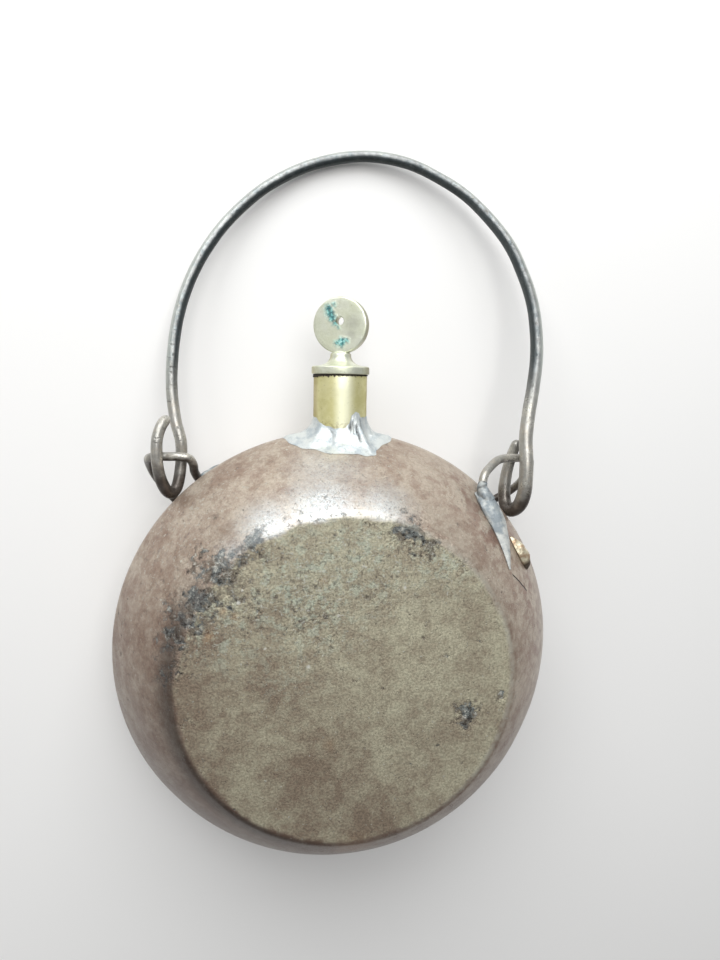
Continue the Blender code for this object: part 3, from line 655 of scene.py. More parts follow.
def stopperBrassFinish():
    look = brassLook
    finish, shader, vector = newFinish("stopperBrass", 1)
    brass = useGroup(brassGroup, vector, Bright=look["stopperBright"], Tarnish=look["stopperTarnish"], Amount=0.8,
        Sheen=0.34)
    rough = ragged(vector, 1.5, 0.9)
    marks = [(*onDisc(right, up), *rest) for right, up, *rest in look["verdigrisMarks"]]
    crumbs = vector.speckle(1.3, 5, 0.75)
    green = spots(rough, marks) * crumbs.ramp(0.28, 0.42, 0.35)
    greenColour = blend(crumbs.ramp(0.43, 0.57), look["verdigrisDark"], look["verdigris"])
    greenColour = blend(crumbs.ramp(0.58, 0.66), greenColour, (0.62, 0.82, 0.79))
    colour = blend(green, brass["Color"], greenColour)
    # painted shade: browner where the sides turn away
    facing = normalOf(vector)
    aside = facing.dot((0.85, 0, -0.45)).ramp(0.05, 0.7, 0, 0.85)
    colour = blend(aside, colour, (0.22, 0.19, 0.09))
    away = facing.dot((-0.85, 0, -0.3)).ramp(0.35, 0.9, 0, 0.6)
    colour = blend(away, colour, (0.36, 0.31, 0.12))
    # grey smudges on the right half of the disc
    smudge = spots(rough, ((*onDisc(3.2, 0.6), 1.4, 1.4, 0.35), (*onDisc(3, -2), 1, 1, 0.3)))
    colour = blend(smudge, colour, (0.24, 0.23, 0.19))
    # the salt doesn't shine as metal does
    feed(shader, {"Metallic": 0.7 - green * 0.65})
    return finishWith(finish, shader, colour, brass["Roughness"] + green * 0.45,
        brass["Height"] + green * (crumbs * 2), 0.00008)


solderLook = {
    "bright": (0.64, 0.67, 0.65), "dull": (0.43, 0.48, 0.5), "oldBright": (0.5, 0.51, 0.48),
    "oldDull": (0.215, 0.245, 0.26), "dirt": (0.07, 0.068, 0.066),
}


def solderFinish(name, bright, dull, metal, sheen, wiped):
    finish, shader, vector = newFinish(name, metal)
    cloud = vector.speckle(0.3, 5, 0.62)
    fine = vector.speckle(2, 4, 0.7)
    # duller towards the wires, paler where the solder was wiped down the flank
    share = cloud + vector.parts()[1].ramp(30.5, 35, -0.08, wiped)
    colour = blend(share.ramp(0.4, 0.64), solderLook[bright], solderLook[dull])
    dirt = (dirtOf(vector) * fine.ramp(0.3, 0.55, 0.4)).clamped()
    colour = blend(dirt.most(fine.ramp(0.61, 0.7, 0, 0.45)), colour, solderLook["dirt"])
    roughness = (cloud.ramp(0.3, 0.7, sheen - 0.05, sheen + 0.12) + dirt * 0.3).clamped()
    return finishWith(finish, shader, colour, roughness, cloud * 0.9 + fine * 0.45, 0.00022)


def brazeFinish():
    finish, shader, vector = newFinish("braze", 0.55)
    cloud = vector.speckle(0.5, 5, 0.6)
    fine = vector.speckle(2.4, 3, 0.6)
    colour = blend(cloud.ramp(0.4, 0.62), (0.74, 0.68, 0.5), (0.44, 0.31, 0.2))
    dirt = dirtOf(vector)
    colour = blend(dirt.most(fine.ramp(0.64, 0.72, 0, 0.5)), colour, (0.05, 0.03, 0.02))
    roughness = (cloud.ramp(0.3, 0.7, 0.26, 0.42) + dirt * 0.3).clamped()
    return finishWith(finish, shader, colour, roughness, cloud * 0.8 + fine * 0.4, 0.0002)


def leatherFinish():
    finish, shader, vector = newFinish("washerLeather", 0)
    fibres = vector.speckle(3, 5, 0.7)
    colour = blend(fibres, (0.01, 0.008, 0.006), (0.06, 0.042, 0.028))
    return finishWith(finish, shader, colour, fibres.ramp(0.3, 0.7, 0.6, 0.85), fibres, 0.0001)


print("materials")
frontIron = frontIronFinish()
backIron = backIronFinish()
wireIron = wireFinish()
neckBrass = neckBrassFinish()
stopperBrass = stopperBrassFinish()
tinSolder = solderFinish("tinSolder", "bright", "dull", 0.5, 0.38, 0)
dullSolder = solderFinish("dullSolder", "oldBright", "oldDull", 0.25, 0.5, 0.08)
braze = brazeFinish()
leather = leatherFinish()


# the body

bodyShape = {
    "thickness": 48, "rimCorner": 55.42, "faceRadius": 38.6, "flankBow": 1.9, "edgeRound": 3.2, "rimRound": 7,
    "wall": 1.2, "steps": 320, "seam": 0.22, "pitDepth": 0.2, "neckHole": 6.55,
    # dents as (x, y, z, radius, depth)
    "dents": ((-46, -12, 34, 9, 0.25), (30, 40, 34, 8, 0.22), (14, -18, 48, 16, 0.2), (-12, 10, 48, 14, 0.16),
        (44, -18, 36, 10, 0.25), (-30, 40, 32, 7, 0.18), (10, 14, 0, 15, 0.2), (-24, -20, 0, 12, 0.2),
        (-40, 20, 12, 8, 0.25)),
}


def arcOf(made):
    start = Vector((made["faceRadius"], made["thickness"]))
    end = Vector((made["rimCorner"], made["thickness"] / 2))
    chord = end - start
    radius = (chord.length ** 2 / 4 + made["flankBow"] ** 2) / (2 * made["flankBow"])
    outward = Vector((-chord.y, chord.x)).normalized()
    return (start + end) / 2 + outward * (made["flankBow"] - radius), radius


arcCentre, arcRadius = arcOf(bodyShape)
middle = bodyShape["thickness"] / 2
faceAngle = atan2(bodyShape["thickness"] - arcCentre.y, bodyShape["faceRadius"] - arcCentre.x)
rimAngle = atan2(middle - arcCentre.y, bodyShape["rimCorner"] - arcCentre.x)
rimRadius = bodyShape["rimCorner"] - bodyShape["rimRound"] * (1 / cos(rimAngle) - 1)
rimMeet = arcCentre.y + arcRadius * sin(rimAngle + bodyShape["rimRound"] * tan(rimAngle) / arcRadius)


def outlineAt(lift):
    # the front half of the body's outline, from the axis to the rim, in millimetres
    made = bodyShape
    half = (pi / 2 - faceAngle) / 2
    cut = made["edgeRound"] * tan(half)
    flat = made["faceRadius"] - cut
    points = []

    def arc(x, y, radius, angles):
        points.extend((x + (radius + lift) * cos(angle), y + (radius + lift) * sin(angle)) for angle in angles)

    for ring in range(32):
        share = ring / 10 * 0.65 if ring < 10 else 0.65 + 0.35 * (ring - 10) / 22
        points.append((flat * share, made["thickness"] + lift))
    arc(flat, made["thickness"] - made["edgeRound"], made["edgeRound"],
        [pi / 2 - 2 * half * step / 8 for step in range(9)])
    start = faceAngle - cut / arcRadius
    end = rimAngle + made["rimRound"] * tan(rimAngle) / arcRadius
    arc(*arcCentre, arcRadius, [mixed(start, end, step / 32) for step in range(1, 32)])
    arc(rimRadius - made["rimRound"], middle, made["rimRound"], [rimAngle * (8 - step) / 8 for step in range(9)])
    return points


def bodyRadius(height):
    # the body's outer radius at a height, in millimetres
    rise = abs(height - middle)
    if rise < rimMeet - middle:
        return rimRadius - bodyShape["rimRound"] + sqrt(bodyShape["rimRound"] ** 2 - rise ** 2)
    return arcCentre.x + sqrt(max(0, arcRadius ** 2 - (middle + rise - arcCentre.y) ** 2))


def onFlank(degrees, offset, lift):
    # a place above the flank: degrees round the rim, millimetres from the rim's plane
    angle = asin((middle + abs(offset) - arcCentre.y) / arcRadius)
    reach = arcRadius + lift
    radius = arcCentre.x + reach * cos(angle)
    rise = arcCentre.y + reach * sin(angle) - middle
    turn = radians(degrees)
    return Vector((radius * cos(turn), radius * sin(turn), middle + copysign(rise, offset)))


def flankNormal(degrees, offset):
    return (onFlank(degrees, offset, 1) - onFlank(degrees, offset, 0)).normalized()


def sinkShell(place, inward, pits):
    # hand-beaten unevenness: always inwards, so the outline keeps its size
    wave = noise.noise(place / 21) * 0.5 + 0.5
    ripple = noise.noise(place / 6 + Vector((7, 3, 1))) * 0.5 + 0.5
    depth = 0.09 * wave + 0.03 * ripple
    for x, y, z, radius, deep in bodyShape["dents"]:
        depth += deep * eased(1 - (place - Vector((x, y, z))).length / radius)
    for x, y, z, radius, edge, strength in pits:
        near = eased((radius + edge - (place - Vector((x, y, z))).length) / (2 * edge))
        if near > 0:
            rough = noise.noise(place / 1.3) + 0.6 * noise.noise(place / 0.75 + Vector((5, 5, 5)))
            depth += near * strength * bodyShape["pitDepth"] * max(0, 0.45 + rough)
    return place + inward * depth


def neckHole():
    wide = bodyShape["neckHole"]
    hole = turnedShape([(0, 6), (wide, 6), (wide, -8), (0, -8)], 64)
    return objectOf("tool", placed(hole, (-pi / 2, "X"), (0, rimRadius, middle)))


def makeShell(name, node, finish, flipped, pits):
    made = bodyShape
    foot = middle + made["seam"]
    outer = [point for point in outlineAt(0) if point[1] > foot]
    inner = [point for point in outlineAt(-made["wall"]) if point[1] > foot + 0.4][::3]
    profile = [*outer, (rimRadius - 0.02, foot), (inner[-1][0], foot), *reversed(inner)]
    profile[-1] = (0, profile[-1][1])
    shape = turnedShape(profile, made["steps"])
    for vert in shape.verts:
        flatness = eased((vert.co.z - 45.5) / 2)
        inward = Vector((0, 0, -1)) * max(flatness, 0.5)
        if hypot(vert.co.x, vert.co.y) > 0.001:
            inward += Vector((-vert.co.x, -vert.co.y, 0)).normalized() * (1 - flatness)
        fade = eased((vert.co.z - middle - 0.6) / 2.5)
        vert.co += (sinkShell(vert.co.copy(), inward, pits) - vert.co) * fade
    placed(shape, (pi, "Y") if flipped else None, centre=(0, 0, middle))
    finished(name, shape, "flask", finish, (node,), 35, cutBy=neckHole())


def makeSeam():
    # the brazed joint: a thin uneven line at the rim over its backing strip
    half = ((2.4, 2), (1.62, 2), (1.5, 0.5), (0.12, 0.2), (0.05, 0.08))
    profile = [(rimRadius - depth, height) for depth, height in half]
    shape = turnedShape([*profile, *((radius, -height) for radius, height in reversed(profile))], 360)
    for vert in shape.verts:
        radius = hypot(vert.co.x, vert.co.y)
        if radius > rimRadius - 0.3:
            grown(vert, 1 + (noise.noise(vert.co / 2.2) * 0.06 - 0.03) / radius)
    placed(shape, move=(0, 0, middle))
    finished("rimSeam", shape, "flask", braze, ("rim_seam",), 35, cutBy=neckHole())


makeShell("frontShell", "front_shell", frontIron, False, shellLook["pitted"])
makeShell("backShell", "back_shell", backIron, True, shellLook["pitted"][5:10])
makeSeam()
print("body")


# the neck

neckShape = {"radius": 6.5, "lip": 0.22, "lipRise": 0.52, "length": 15.4, "bore": 4.1, "threadFrom": -11.3,
    "play": 0.36, "steps": 96}


def alongNeck(shape):
    return placed(shape, (-pi / 2, "X"), (0, stopperShape["mouth"], middle))


def ridge(turn, height):
    # the thread's form: flat crest and root with sloping flanks
    phase = (height / stopperShape["pitch"] - turn / (2 * pi)) % 1
    return min(1, max(0, 1.35 * (1 - abs(2 * phase - 1)) - 0.18))


def cutThread(shape, low, high, depth, within):
    # the thread fades out over the same length at both ends
    runOut = stopperShape["runOut"]
    for vert in shape.verts:
        radius = hypot(vert.co.x, vert.co.y)
        if not (low < vert.co.z < high) or radius > within:
            continue
        share = min(1, (vert.co.z - low) / runOut, (high - vert.co.z) / runOut)
        grown(vert, 1 + depth * share * ridge(atan2(vert.co.y, vert.co.x), vert.co.z) / radius)


def threadRows(low, high, radius):
    rows = round((high - low) / 0.125)
    return [(radius, mixed(low, high, row / rows)) for row in range(rows + 1)]


def makeNeck():
    made = neckShape
    radius, bore, rise, foot = made["radius"], made["bore"], made["lipRise"], -made["length"]
    groove = stopperShape["shankRadius"] - stopperShape["threadDepth"] + made["play"]
    profile = [
        *quarter(radius, rise, made["lip"]), (radius, -3), (radius - 0.02, -6), (radius, -9), (radius, foot),
        (bore, foot), (bore, made["threadFrom"] - 0.4), *threadRows(made["threadFrom"], -0.6, groove),
        (groove + 0.45, -0.1), (groove + 0.75, rise - 0.1), (groove + 0.9, rise)]
    shape = turnedShape(profile, made["steps"])
    cutThread(shape, made["threadFrom"], -0.6, stopperShape["threadDepth"], groove + 0.2)
    finished("neckTube", alongNeck(shape), "flask", neckBrass, ("neck_tube",), 32)


solderShape = {
    # round the neck: degrees from the front towards +X, then millimetres
    "top": ((-180, 57), (-120, 57.2), (-95, 58.6), (-72, 58.4), (-52, 57.2), (-34, 56.4), (-14, 56), (4, 56),
        (12, 57), (20, 59.2), (28, 60), (36, 59.6), (44, 58.6), (56, 58.6), (70, 58.8), (92, 58.6),
        (130, 57.2), (180, 57)),
    "foot": ((-180, 10.6), (-130, 11.8), (-95, 13.9), (-74, 13.4), (-58, 12.2), (-36, 10.8), (-8, 10.4),
        (16, 10.6), (28, 12), (36, 12.6), (44, 11.4), (56, 11), (80, 12.6), (95, 13.4), (130, 11.6),
        (180, 10.6)),
    # ridges and hollows as (degrees, width, height)
    "ridges": ((-46, 13, 0.55), (36, 7, 0.4), (70, 9, 0.35), (54, 8, -0.35), (-22, 8, -0.35)),
    # creases as (degrees at the top, degrees at the foot, width, depth, from, to)
    "creases": ((17, 9, 2.2, 0.46, 0, 0.36), (21, 20, 1.8, 0.3, 0.1, 0.46), (26, 31, 2, 0.46, 0.22, 0.66),
        (38, 41, 2, 0.3, 0.06, 0.42), (-24, -20, 3.4, 0.14, 0.1, 0.6), (-150, -140, 5, 0.3, 0.1, 0.8),
        (128, 135, 4, 0.25, 0.1, 0.8)),
}


def makeNeckSolder():
    made = solderShape
    rows, steps, hidden = 44, 260, 3
    neck = neckShape["radius"]
    dirt = {}

    def place(row, share):
        degrees = share * 360 - 180
        turn = radians(degrees)
        across = Vector((sin(turn), 0, cos(turn)))
        wobble = noise.noise(Vector((cos(turn), sin(turn), 0)) * 2.6)
        top = keyed(made["top"], degrees) + 0.25 * noise.noise(across * 5)
        foot = keyed(made["foot"], degrees) + 0.45 * wobble

        def surface(radius):
            spot = across * radius
            return sqrt(bodyRadius(middle + spot.z) ** 2 - spot.x ** 2)

        def at(radius, height):
            return Vector((0, 0, middle)) + across * radius + Vector((0, height, 0))

        if row < hidden:
            # the hidden start, against the neck and below the surface
            return at(neck - 0.4 + 0.2 * row, mixed(surface(neck) - 0.6, top - 0.1, row / hidden))
        t = (row - hidden) / (rows - 2 * hidden)
        if t > 1:
            radius = foot + 0.05 - 0.5 * (t - 1) * (rows - 2 * hidden)
            return at(radius, surface(radius) - 0.3)
        start = Vector((neck + 0.03, top))
        end = Vector((foot, surface(foot) + 0.02))
        beside = abs(across.x) ** 3
        corner = Vector((neck + mixed(0.6, 0.02, beside), surface(neck + 1.4) + mixed(0.9, 0.1, beside)))
        spot = start * (1 - t) ** 2 + corner * 2 * t * (1 - t) + end * t ** 2
        swell = sin(pi * min(1, t * 1.04)) ** 0.8 if t < 0.96 else 0
        solid = Vector((spot.x * across.x, spot.y, spot.x * across.z))
        lumpy = 0.26 * noise.noise(solid / 2.3) + 0.08 * noise.noise(solid / 0.9) + 0.08
        push = swell * lumpy * (1 - 0.7 * beside)
        push += 0.45 * beside ** 4 * eased((t - 0.55) / 0.3) * eased((1 - t) / 0.1)
        push += swell * sum(high * exp(-((degrees - centre) / width) ** 2)
                            for centre, width, high in made["ridges"])
        dark = 0
        for fromTop, atFoot, width, depth, low, high in made["creases"]:
            centre = mixed(fromTop, atFoot, t) + 3 * noise.noise(Vector((t * 6, fromTop, 0)))
            fade = eased((t - low) / 0.08) * eased((high - t) / 0.12)
            hollow = exp(-((degrees - centre) / width) ** 2) * fade
            push -= depth * hollow
            dark = max(dark, hollow * depth / 0.5)
        tangent = (end - start).normalized()
        spot += Vector((abs(tangent.y), abs(tangent.x))) * push
        radius = max(spot.x, neck + 0.02)
        where = at(radius, max(spot.y, surface(radius) - 0.02))
        if dark > 0.02:
            dirt[keyOf(where)] = dark
        return where

    shape = ringed(rows, steps, place, closeEnds=False)
    stain(shape, dirt)
    # close the hidden side
    bmesh.ops.bridge_loops(shape, edges=[edge for edge in shape.edges if edge.is_boundary])
    finished("neckSolder", placed(shape), "flask", tinSolder, ("neck_solder",), 60)


makeNeck()
makeNeckSolder()
print("neck")


# the stopper and its washer

def makeStopper():
    made = stopperShape
    root = made["shankRadius"] - made["threadDepth"]
    length = made["shankLength"]
    low = -length + made["taper"]
    top = made["flangeLow"] + made["flangeHeight"]
    stem, flange, edge, bevel = made["stemRadius"], made["flangeRadius"], made["discLow"], made["discEdge"]
    profile = [(0, edge + 0.62), (1.15, edge + 0.62), (1.5, edge + 0.5), (2.05, edge + 0.24),
        (stem - 0.12, edge + 0.02), (stem, edge - 0.25)]
    for step in range(1, 13):
        turn = step / 12 * pi / 2
        profile.append((stem + (flange - 0.35 - stem) * (1 - cos(turn)) ** 1.15,
            mixed(edge - 0.25, top + 0.12, sin(turn))))
    profile += quarter(flange, top, 0.25)[1:] + quarter(flange, made["flangeLow"], 0.2, low=True)
    profile += [(root, made["flangeLow"]), (root, -0.8), *reversed(threadRows(low, -0.9, root)),
        (root * 0.93, low - 0.3), (root * 0.74, -length + 0.1), (root * 0.68, -length), (0, -length)]
    shape = turnedShape(profile, 96)
    cutThread(shape, low, -0.9, made["threadDepth"], root + 0.2)

    half = made["discThickness"] / 2
    radius = made["discRadius"]
    inside = [radius * share for share in (0, 0.3, 0.6, 0.85)]
    head = turnedShape([*((at, half) for at in inside), *quarter(radius, half, bevel),
        *quarter(radius, -half, bevel, low=True), *((at, -half) for at in reversed(inside))], 112)
    small = made["holeRadius"]
    wide = small + 1.75
    hole = turnedShape([(0, 3), (wide, 3), (small, 1.18), (small, -1.18), (wide, -3), (0, -3)], 40)
    for tool, rise in ((head, 0), (hole, made["holeRise"])):
        placed(tool, (-radians(made["discTurn"]), "Y"), (0, made["mouth"] + (edge + radius) + rise, middle))
    finished("stopper", alongNeck(shape), "stopper", stopperBrass, ("stopper",), 34,
        cutBy=objectOf("tool", hole), joinWith=objectOf("tool", head))


washerShape = ((5, 0.85), (6.3, 0.85), (6.5, 0.8), (6.6, 0.7), (6.6, 0.6), (6.56, 0.54), (5, 0.54))


def makeWasher():
    shape = turnedShape(washerShape, 260)
    for vert in shape.verts:
        radius = hypot(vert.co.x, vert.co.y)
        if radius > 5.5:
            turn = atan2(vert.co.y, vert.co.x)
            fray = noise.noise(Vector((cos(turn) * 9, sin(turn) * 9, 0)))
            grown(vert, 1 + (0.14 * fray + (0.05 if vert.co.z < 0.65 else 0)) / radius)
            # ragged bits hang over the lip, most of them at the left
            if vert.co.z < 0.62:
                hang = noise.noise(Vector((cos(turn) * 14, sin(turn) * 14, 4))) + 0.15 - 0.5 * cos(turn)
                vert.co.z -= 0.55 * eased(hang)
    finished("stopperWasher", alongNeck(shape), "washer", leather, ("stopper_washer",), 40)


makeStopper()
makeWasher()
print("stopper")


# the wires

linkShape = {
    "bailWire": 3, "eyeWire": 2.2, "play": 0.5, "linkAngle": 49.8, "hingeDrop": 1.7, "leftStand": 8.3,
    "rightStand": 12.1, "crown": 77.6, "restGap": 0.6, "leftTurn": 52, "rightTurn": 80, "rightLean": 0.12,
    "rightWidening": 1.17,
}
hingeY = (rimRadius + linkShape["leftStand"]) * sin(radians(linkShape["linkAngle"]))
hingeZ = middle - linkShape["hingeDrop"]
leftCentre = Vector((-sqrt((rimRadius + linkShape["leftStand"]) ** 2 - hingeY ** 2), hingeY, hingeZ))
rightCentre = Vector((sqrt((rimRadius + linkShape["rightStand"]) ** 2 - hingeY ** 2), hingeY, hingeZ))

bailShape = {
    # loops from the wire's tip: share of half the loop's width, millimetres above the hinge, shift sideways
    "leftLoop": ((-0.06, 9.6, 0), (-0.64, 7.6, 0), (-1, 4.8, 0), (-1.08, 1.8, 0), (-1.03, -1.7, 0),
        (-0.8, -5.1, 0), (-0.34, -8, 0), (0.14, -8.9, 0), (0.58, -7.6, 0), (0.88, -4.1, 0), (1.01, 0, 0),
        (0.97, 3.7, 0)),
    "rightLoop": ((-0.75, 4.4, 1.1), (-0.88, 2.2, 0.7), (-1, -0.8, 0.3), (-1.06, -4.4, 0), (-1.04, -8.4, 0),
        (-0.82, -11.6, 0.2), (-0.3, -13.6, 0.4), (0.3, -13.4, 0.8), (0.82, -11.5, 1.2), (1.06, -8, 1.3),
        (1.1, -4, 0.9), (1, 0, 0.5)),
    # thickness along the wire, drawn thin at both tips and stout at the right shoulder
    "swell": ((0, 0.88), (0.08, 0.97), (0.24, 0.98), (0.36, 1), (0.55, 1), (0.66, 1.14), (0.82, 1.24),
        (0.9, 1.12), (1, 0.86)),
    # the arch: share of the way across, share of the crown's height
    "arch": ((0.012, 0.11), (0.001, 0.2), (0.001, 0.299), (0.012, 0.415), (0.038, 0.528), (0.085, 0.646),
        (0.158, 0.764), (0.257, 0.871), (0.366, 0.945), (0.47, 0.985), (0.562, 1), (0.652, 0.992),
        (0.736, 0.963), (0.842, 0.897), (0.911, 0.83), (0.984, 0.729), (1.026, 0.628), (1.054, 0.518),
        (1.062, 0.415), (1.058, 0.325), (1.044, 0.235), (1.026, 0.145), (1.014, 0.062)),
}


def loopPlaces(centre, outline, turn, forward, lean, widening):
    made = linkShape
    depth = ((made["bailWire"] + made["eyeWire"]) / 2 + made["play"]) * widening
    across = depth / tan(radians(turn))
    return [centre + Vector((share * across + lean * height + shift, height, forward * share * depth))
            for share, height, shift in outline]


def bailRoute():
    made = linkShape
    left = loopPlaces(leftCentre, bailShape["leftLoop"], made["leftTurn"], -1, 0, 1)
    right = loopPlaces(rightCentre, bailShape["rightLoop"], made["rightTurn"], 1, made["rightLean"],
        made["rightWidening"])
    right.reverse()
    low = made["bailWire"] / 2 + made["restGap"]
    span = rightCentre.x - leftCentre.x
    crown = Vector((leftCentre.x + 0.5 * span, hingeY + made["crown"], low))
    normal = (left[-1] - crown).cross(right[0] - crown)
    arch = []
    for across, rise in bailShape["arch"]:
        x = leftCentre.x + across * span
        y = hingeY + rise * made["crown"]
        z = low - (normal.x * (x - crown.x) + normal.y * (y - crown.y)) / normal.z
        arch.append(Vector((x, y, max(z, low))))
    return smoothRoute([*left, *arch, *right], 9)


eyeShape = {
    "leftUpper": ((121, -8.6), (125, -7.9), (129, -7.1)),
    "leftStretch": ((5.6, -4.2, -3.4), (5.4, -2.1, -1.6), (4.5, -0.5, -0.4), (2.4, 0, 0), (-0.8, 0, 0),
        (-3.4, 0, -0.1), (-5, -0.5, -1.3), (-5.5, -1.5, -3.9), (-5.4, -3.3, -6.8), (-4.6, -5.9, -9.5),
        (-2.9, -8.9, -11.6), (-0.6, -12, -12.6)),
    "leftLower": ((139, -13.6), (143, -14), (147, -14.2)),
    "rightFront": ((40.6, 12.1), (45.5, 9.6), (50, 7.7)),
    "rightStretch": ((-11.8, -5.4, 8.7), (-10.9, -3.2, 7.5), (-8.9, -1.6, 5.6), (-6.6, -0.4, 3.6),
        (-4.6, 0, 2.1), (-2.4, 0.1, 0.8), (0.1, 0, 0), (2.6, -0.1, -0.7), (4.4, -1.2, -2.2), (5, -3.8, -4.9),
        (4.7, -7.2, -8.6), (2.9, -10.3, -11.6), (-0.8, -12.8, -13.1), (-4.6, -15.6, -13.7)),
    "rightRear": ((36.5, -15.5), (32, -15.6), (28, -15.6)),
}


def eyeRoute(centre, first, stretch, last):
    lift = linkShape["eyeWire"] / 2 + 0.3
    lifts = (0.125, 0.125, 0.5, 0.5, 0.125, 0.125)
    feet = [onFlank(*spot, lift + rise) for spot, rise in zip((*first, *last), lifts)]
    return smoothRoute([*feet[:3], *(centre + Vector(offset) for offset in stretch), *feet[3:]], 8)


def roundRing(spot, frame, angle, size):
    side, up = frame
    return spot + side * (cos(angle) * size) + up * (sin(angle) * size)


def makeWire(name, route, radius, sides, seed, replaced, body, tips=(0.75, 0.75), swell=((0, 1), (1, 1))):
    # a hand-drawn wire: never quite round, never quite even, with rubbed-down ends
    frames = routeFrames(route)
    lengths = [0]
    for before, after in zip(route, route[1:]):
        lengths.append(lengths[-1] + (after - before).length)

    def place(row, share):
        angle = share * 2 * pi
        at = lengths[row]
        size = radius * keyed(swell, row / (len(route) - 1), float)
        size *= 0.97 + 0.022 * noise.noise(Vector((at / 7, seed, 0)))
        size *= 1 + 0.026 * noise.noise(Vector((cos(angle) * 1.2, sin(angle) * 1.2, at / 5 + seed)))
        for end, blunt in ((at, tips[0]), (lengths[-1] - at, tips[1])):
            if end < radius * blunt:
                inside = 1 - end / (radius * blunt)
                size *= sqrt(max(0.02, 1 - inside ** 2))
        return roundRing(route[row], frames[row], angle, size)

    finished(name, placed(ringed(len(route), sides, place)), body, wireIron, replaced, 50)


makeWire("bail", bailRoute(), linkShape["bailWire"] / 2, 28, 1, ("bail",), "bail", (1.2, 1), bailShape["swell"])
leftRoute = eyeRoute(leftCentre, eyeShape["leftUpper"], eyeShape["leftStretch"], eyeShape["leftLower"])
rightRoute = eyeRoute(rightCentre, eyeShape["rightFront"], eyeShape["rightStretch"], eyeShape["rightRear"])
makeWire("leftEye", leftRoute, linkShape["eyeWire"] / 2, 24, 5, ("left_eye",), "flask")
makeWire("rightEye", rightRoute, linkShape["eyeWire"] / 2, 24, 9, ("right_eye",), "flask")
print("wires")


# the solder over the feet of the eyes

beadShape = {
    # (degrees, millimetres from the rim's plane, half width, height above the flank)
    "rightFront": ((51, 6.9, 0.3, 0.3), (50.4, 7.2, 1, 1.2), (49.4, 7.7, 1.6, 2.3), (48, 8.5, 2.2, 3),
        (45.6, 9.8, 2.7, 3.1), (42, 11.6, 2.45, 2.75), (38.2, 13.6, 1.75, 1.9), (34.8, 15.3, 0.95, 1),
        (32.6, 16.4, 0.42, 0.45), (31.3, 16.9, 0.15, 0.2)),
    "rightRear": ((39.6, -15, 0.9, 1.6), (38.6, -15.2, 1.6, 2.4), (36, -15.5, 2, 3.2), (31.5, -15.6, 2, 3.2),
        (27, -15.6, 1.6, 2.4), (24.6, -15.5, 1, 1), (23.6, -15.5, 0.4, 0.3)),
    "leftUpper": ((131.6, -6.7, 0.9, 1.6), (130.6, -6.9, 1.6, 2.4), (128, -7.3, 2, 3.2), (124, -8.1, 2, 3.2),
        (120, -8.9, 1.6, 2.4), (117.8, -9.2, 1, 1), (116.9, -9.3, 0.4, 0.3)),
    "leftLower": ((136.8, -13.4, 0.9, 1.6), (137.6, -13.5, 1.6, 2.4), (140, -13.8, 2, 3.2),
        (144, -14.1, 2, 3.2), (148.2, -14.2, 1.6, 2.4), (150.6, -14.1, 1, 1), (151.6, -14.1, 0.4, 0.3)),
    "repair": ((35.6, 8.9, 0.3, 0.3), (34.8, 9, 0.7, 0.8), (32.8, 9.1, 1.4, 1.7), (30.4, 9.1, 1.7, 2.2),
        (28, 9, 1.6, 2), (26, 8.8, 1.1, 1.2), (25, 8.7, 0.35, 0.3)),
}


def sleeveOn(route, wide, narrow):
    # solder drawn up along a wire, thinning out
    frames = routeFrames(route)

    def place(row, share):
        side, up = frames[row]
        angle = share * 2 * pi
        size = mixed(wide, narrow, eased(row / (len(route) - 1)) ** 0.8)
        size += 0.12 * noise.noise(route[row] / 1.2 + side * cos(angle) + up * sin(angle))
        return roundRing(route[row], frames[row], angle, size)

    shape = placed(ringed(len(route), 32, place))
    bmesh.ops.recalc_face_normals(shape, faces=shape.faces)
    return objectOf("tool", shape)


def makeBead(name, keys, replaced, finish, seed, lumps=0.22, darkEnd=None, collar=None, sleeve=None):
    middles = smoothRoute([Vector((*key[:2], 0)) for key in keys], 8)
    sizes = smoothRoute([Vector((*key[2:], 0)) for key in keys], 8)
    last = len(middles) - 1
    dirt = {}

    def place(row, share):
        degrees, offset = middles[row].xy
        wide, tall = (max(0.1, size) for size in sizes[row].xy)
        ahead = onFlank(*middles[min(row + 1, last)].xy, 0)
        behind = onFlank(*middles[max(row - 1, 0)].xy, 0)
        up = flankNormal(degrees, offset)
        side = (ahead - behind).normalized().cross(up).normalized()
        sideways, upwards = cos(share * 2 * pi), sin(share * 2 * pi)
        spot = onFlank(degrees, offset, 0) + side * wide * sideways
        spot += up * (tall * upwards if upwards > 0 else 0.35 * upwards)
        if upwards > 0:
            # the foot of the bead spreads a little
            spot += side * sideways * 0.45 * (1 - upwards) ** 3
            lump = noise.noise(spot / 1.6 + Vector((seed, 0, 0)))
            small = noise.noise(spot / 0.6 + Vector((0, seed, 0)))
            spot += up * upwards * min(1, tall) * (lumps * lump + 0.35 * lumps * small - 0.3 * lumps)
            spot += side * sideways * lumps * 0.8 * lump * min(1, wide)
        dark = 0 if darkEnd is None else eased((row / last - darkEnd) / 0.12) * 0.9
        dark = max(dark, 0.5 * eased((0.16 - upwards) / 0.16) if upwards > -0.2 else 0)
        if collar is not None:
            # a sooty ring with a hollow where the wire comes out
            ring = exp(-(((spot - collar).length - 1.5) / 0.5) ** 2)
            dark = max(dark, 0.9 * ring)
            spot -= up * 0.3 * ring
        dirt[keyOf(spot)] = dark
        return spot

    shape = ringed(last + 1, 40, place)
    stain(shape, dirt)
    finished(name, placed(shape), "flask", finish, replaced, 60, joinWith=sleeve)


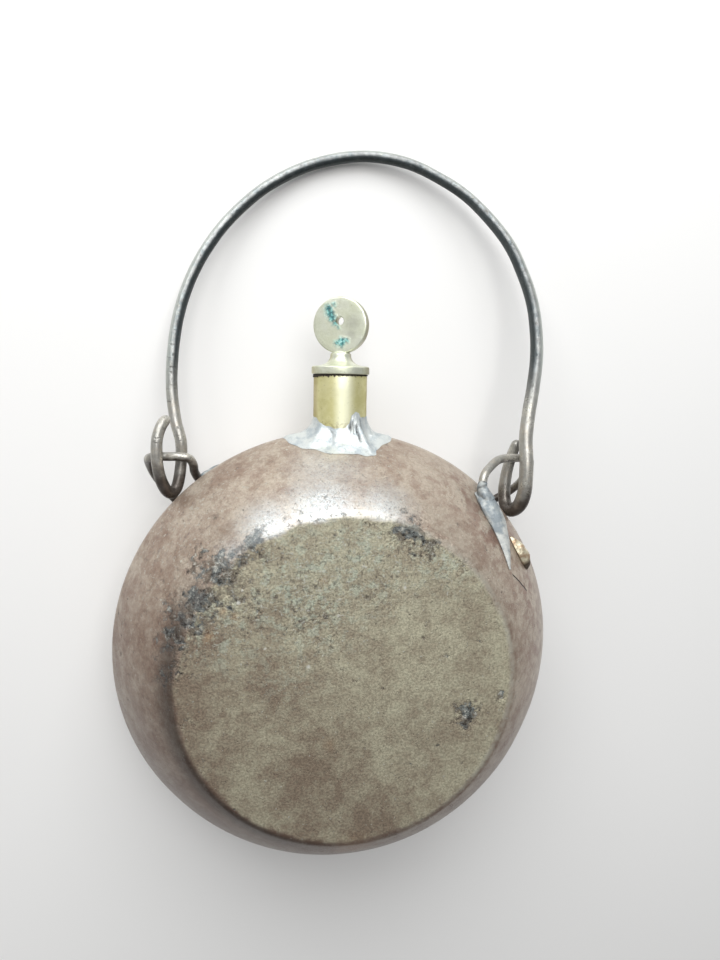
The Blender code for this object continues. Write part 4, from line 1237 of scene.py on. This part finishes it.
makeBead("rightFrontSolder", beadShape["rightFront"], ("right_eye_front_solder",), dullSolder, 2,
    0.16, collar=onFlank(50, 7.6, 2.3), sleeve=sleeveOn(rightRoute[11:25], 1.72, 1.14))
makeBead("rightRearSolder", beadShape["rightRear"], ("right_eye_rear_solder",), dullSolder, 4)
makeBead("leftUpperSolder", beadShape["leftUpper"], ("left_eye_upper_solder",), dullSolder, 6)
makeBead("leftLowerSolder", beadShape["leftLower"], ("left_eye_lower_solder",), dullSolder, 8)
makeBead("rimRepair", beadShape["repair"], ("rim_repair",), braze, 3, 0.25, darkEnd=0.62)
print("solder")


# floor, light and camera

stageLook = {"floor": (0.8, 0.79, 0.77), "floorSize": 1.6, "world": (0.92, 0.95, 1), "worldLight": 0.2}


def makeStage():
    shape = bmesh.new()
    bmesh.ops.create_grid(shape, x_segments=1, y_segments=1, size=stageLook["floorSize"])
    floor = objectOf("floor", shape)
    finish, shader, vector = newFinish("paperFloor", 0)
    paler = [part * 1.04 for part in stageLook["floor"]]
    feed(shader, {"Base Color": blend(vector.speckle(0.004, 2), stageLook["floor"], paler), "Roughness": 0.75})
    floor.data.materials.append(finish)
    world = bpy.data.worlds.new("studio")
    bpy.context.scene.world = world
    world.use_nodes = True
    feed(world.node_tree.nodes["Background"], {"Color": stageLook["world"], "Strength": stageLook["worldLight"]})


def addLamp(name, place, target, size, energy, colour=(1, 1, 1)):
    lamp = bpy.data.lights.new(name, "AREA")
    lamp.shape = "RECTANGLE"
    lamp.size, lamp.size_y = size
    lamp.energy = energy
    lamp.color = colour
    item = linked(name, lamp)
    item.location = place
    item.rotation_euler = (Vector(target) - Vector(place)).to_track_quat("-Z", "Y").to_euler()


cameraView = {"place": (-0.0214, 0.0665, 0.1995), "yaw": 8.65, "pitch": 7.6, "roll": -1.1, "lens": 27}


def makeCamera():
    yaw, pitch, roll = (radians(cameraView[key]) for key in ("yaw", "pitch", "roll"))
    ahead = Vector((sin(yaw), 0, -cos(yaw)))
    right = Vector((cos(yaw), 0, sin(yaw)))
    down = Vector((0, -1, 0))
    view = ahead * cos(pitch) + down * sin(pitch)
    lower = down * cos(pitch) - ahead * sin(pitch)
    across = right * cos(roll) + lower * sin(roll)
    lower = lower * cos(roll) - right * sin(roll)
    data = bpy.data.cameras.new("camera")
    data.lens = cameraView["lens"]
    data.sensor_width = 36
    data.sensor_fit = "AUTO"
    data.clip_start = 0.005
    camera = linked("camera", data)
    turn = Matrix((across, -lower, -view)).transposed().to_4x4()
    camera.matrix_world = Matrix.Translation(cameraView["place"]) @ turn
    bpy.context.scene.camera = camera


makeStage()
addLamp("windowTop", (-0.06, 0.54, 0.38), (0, 0.03, 0.03), (0.7, 0.42), 4.6, (0.97, 0.985, 1))
addLamp("overhead", (0.02, 0.26, 0.62), (0, 0.02, 0.02), (0.36, 0.36), 1.9)
addLamp("leftFill", (-0.62, -0.05, 0.36), (0, 0, 0.03), (0.45, 0.45), 0.35, (1, 0.97, 0.94))
makeCamera()
bpy.context.scene.view_settings.view_transform = "Standard"
print("stage")
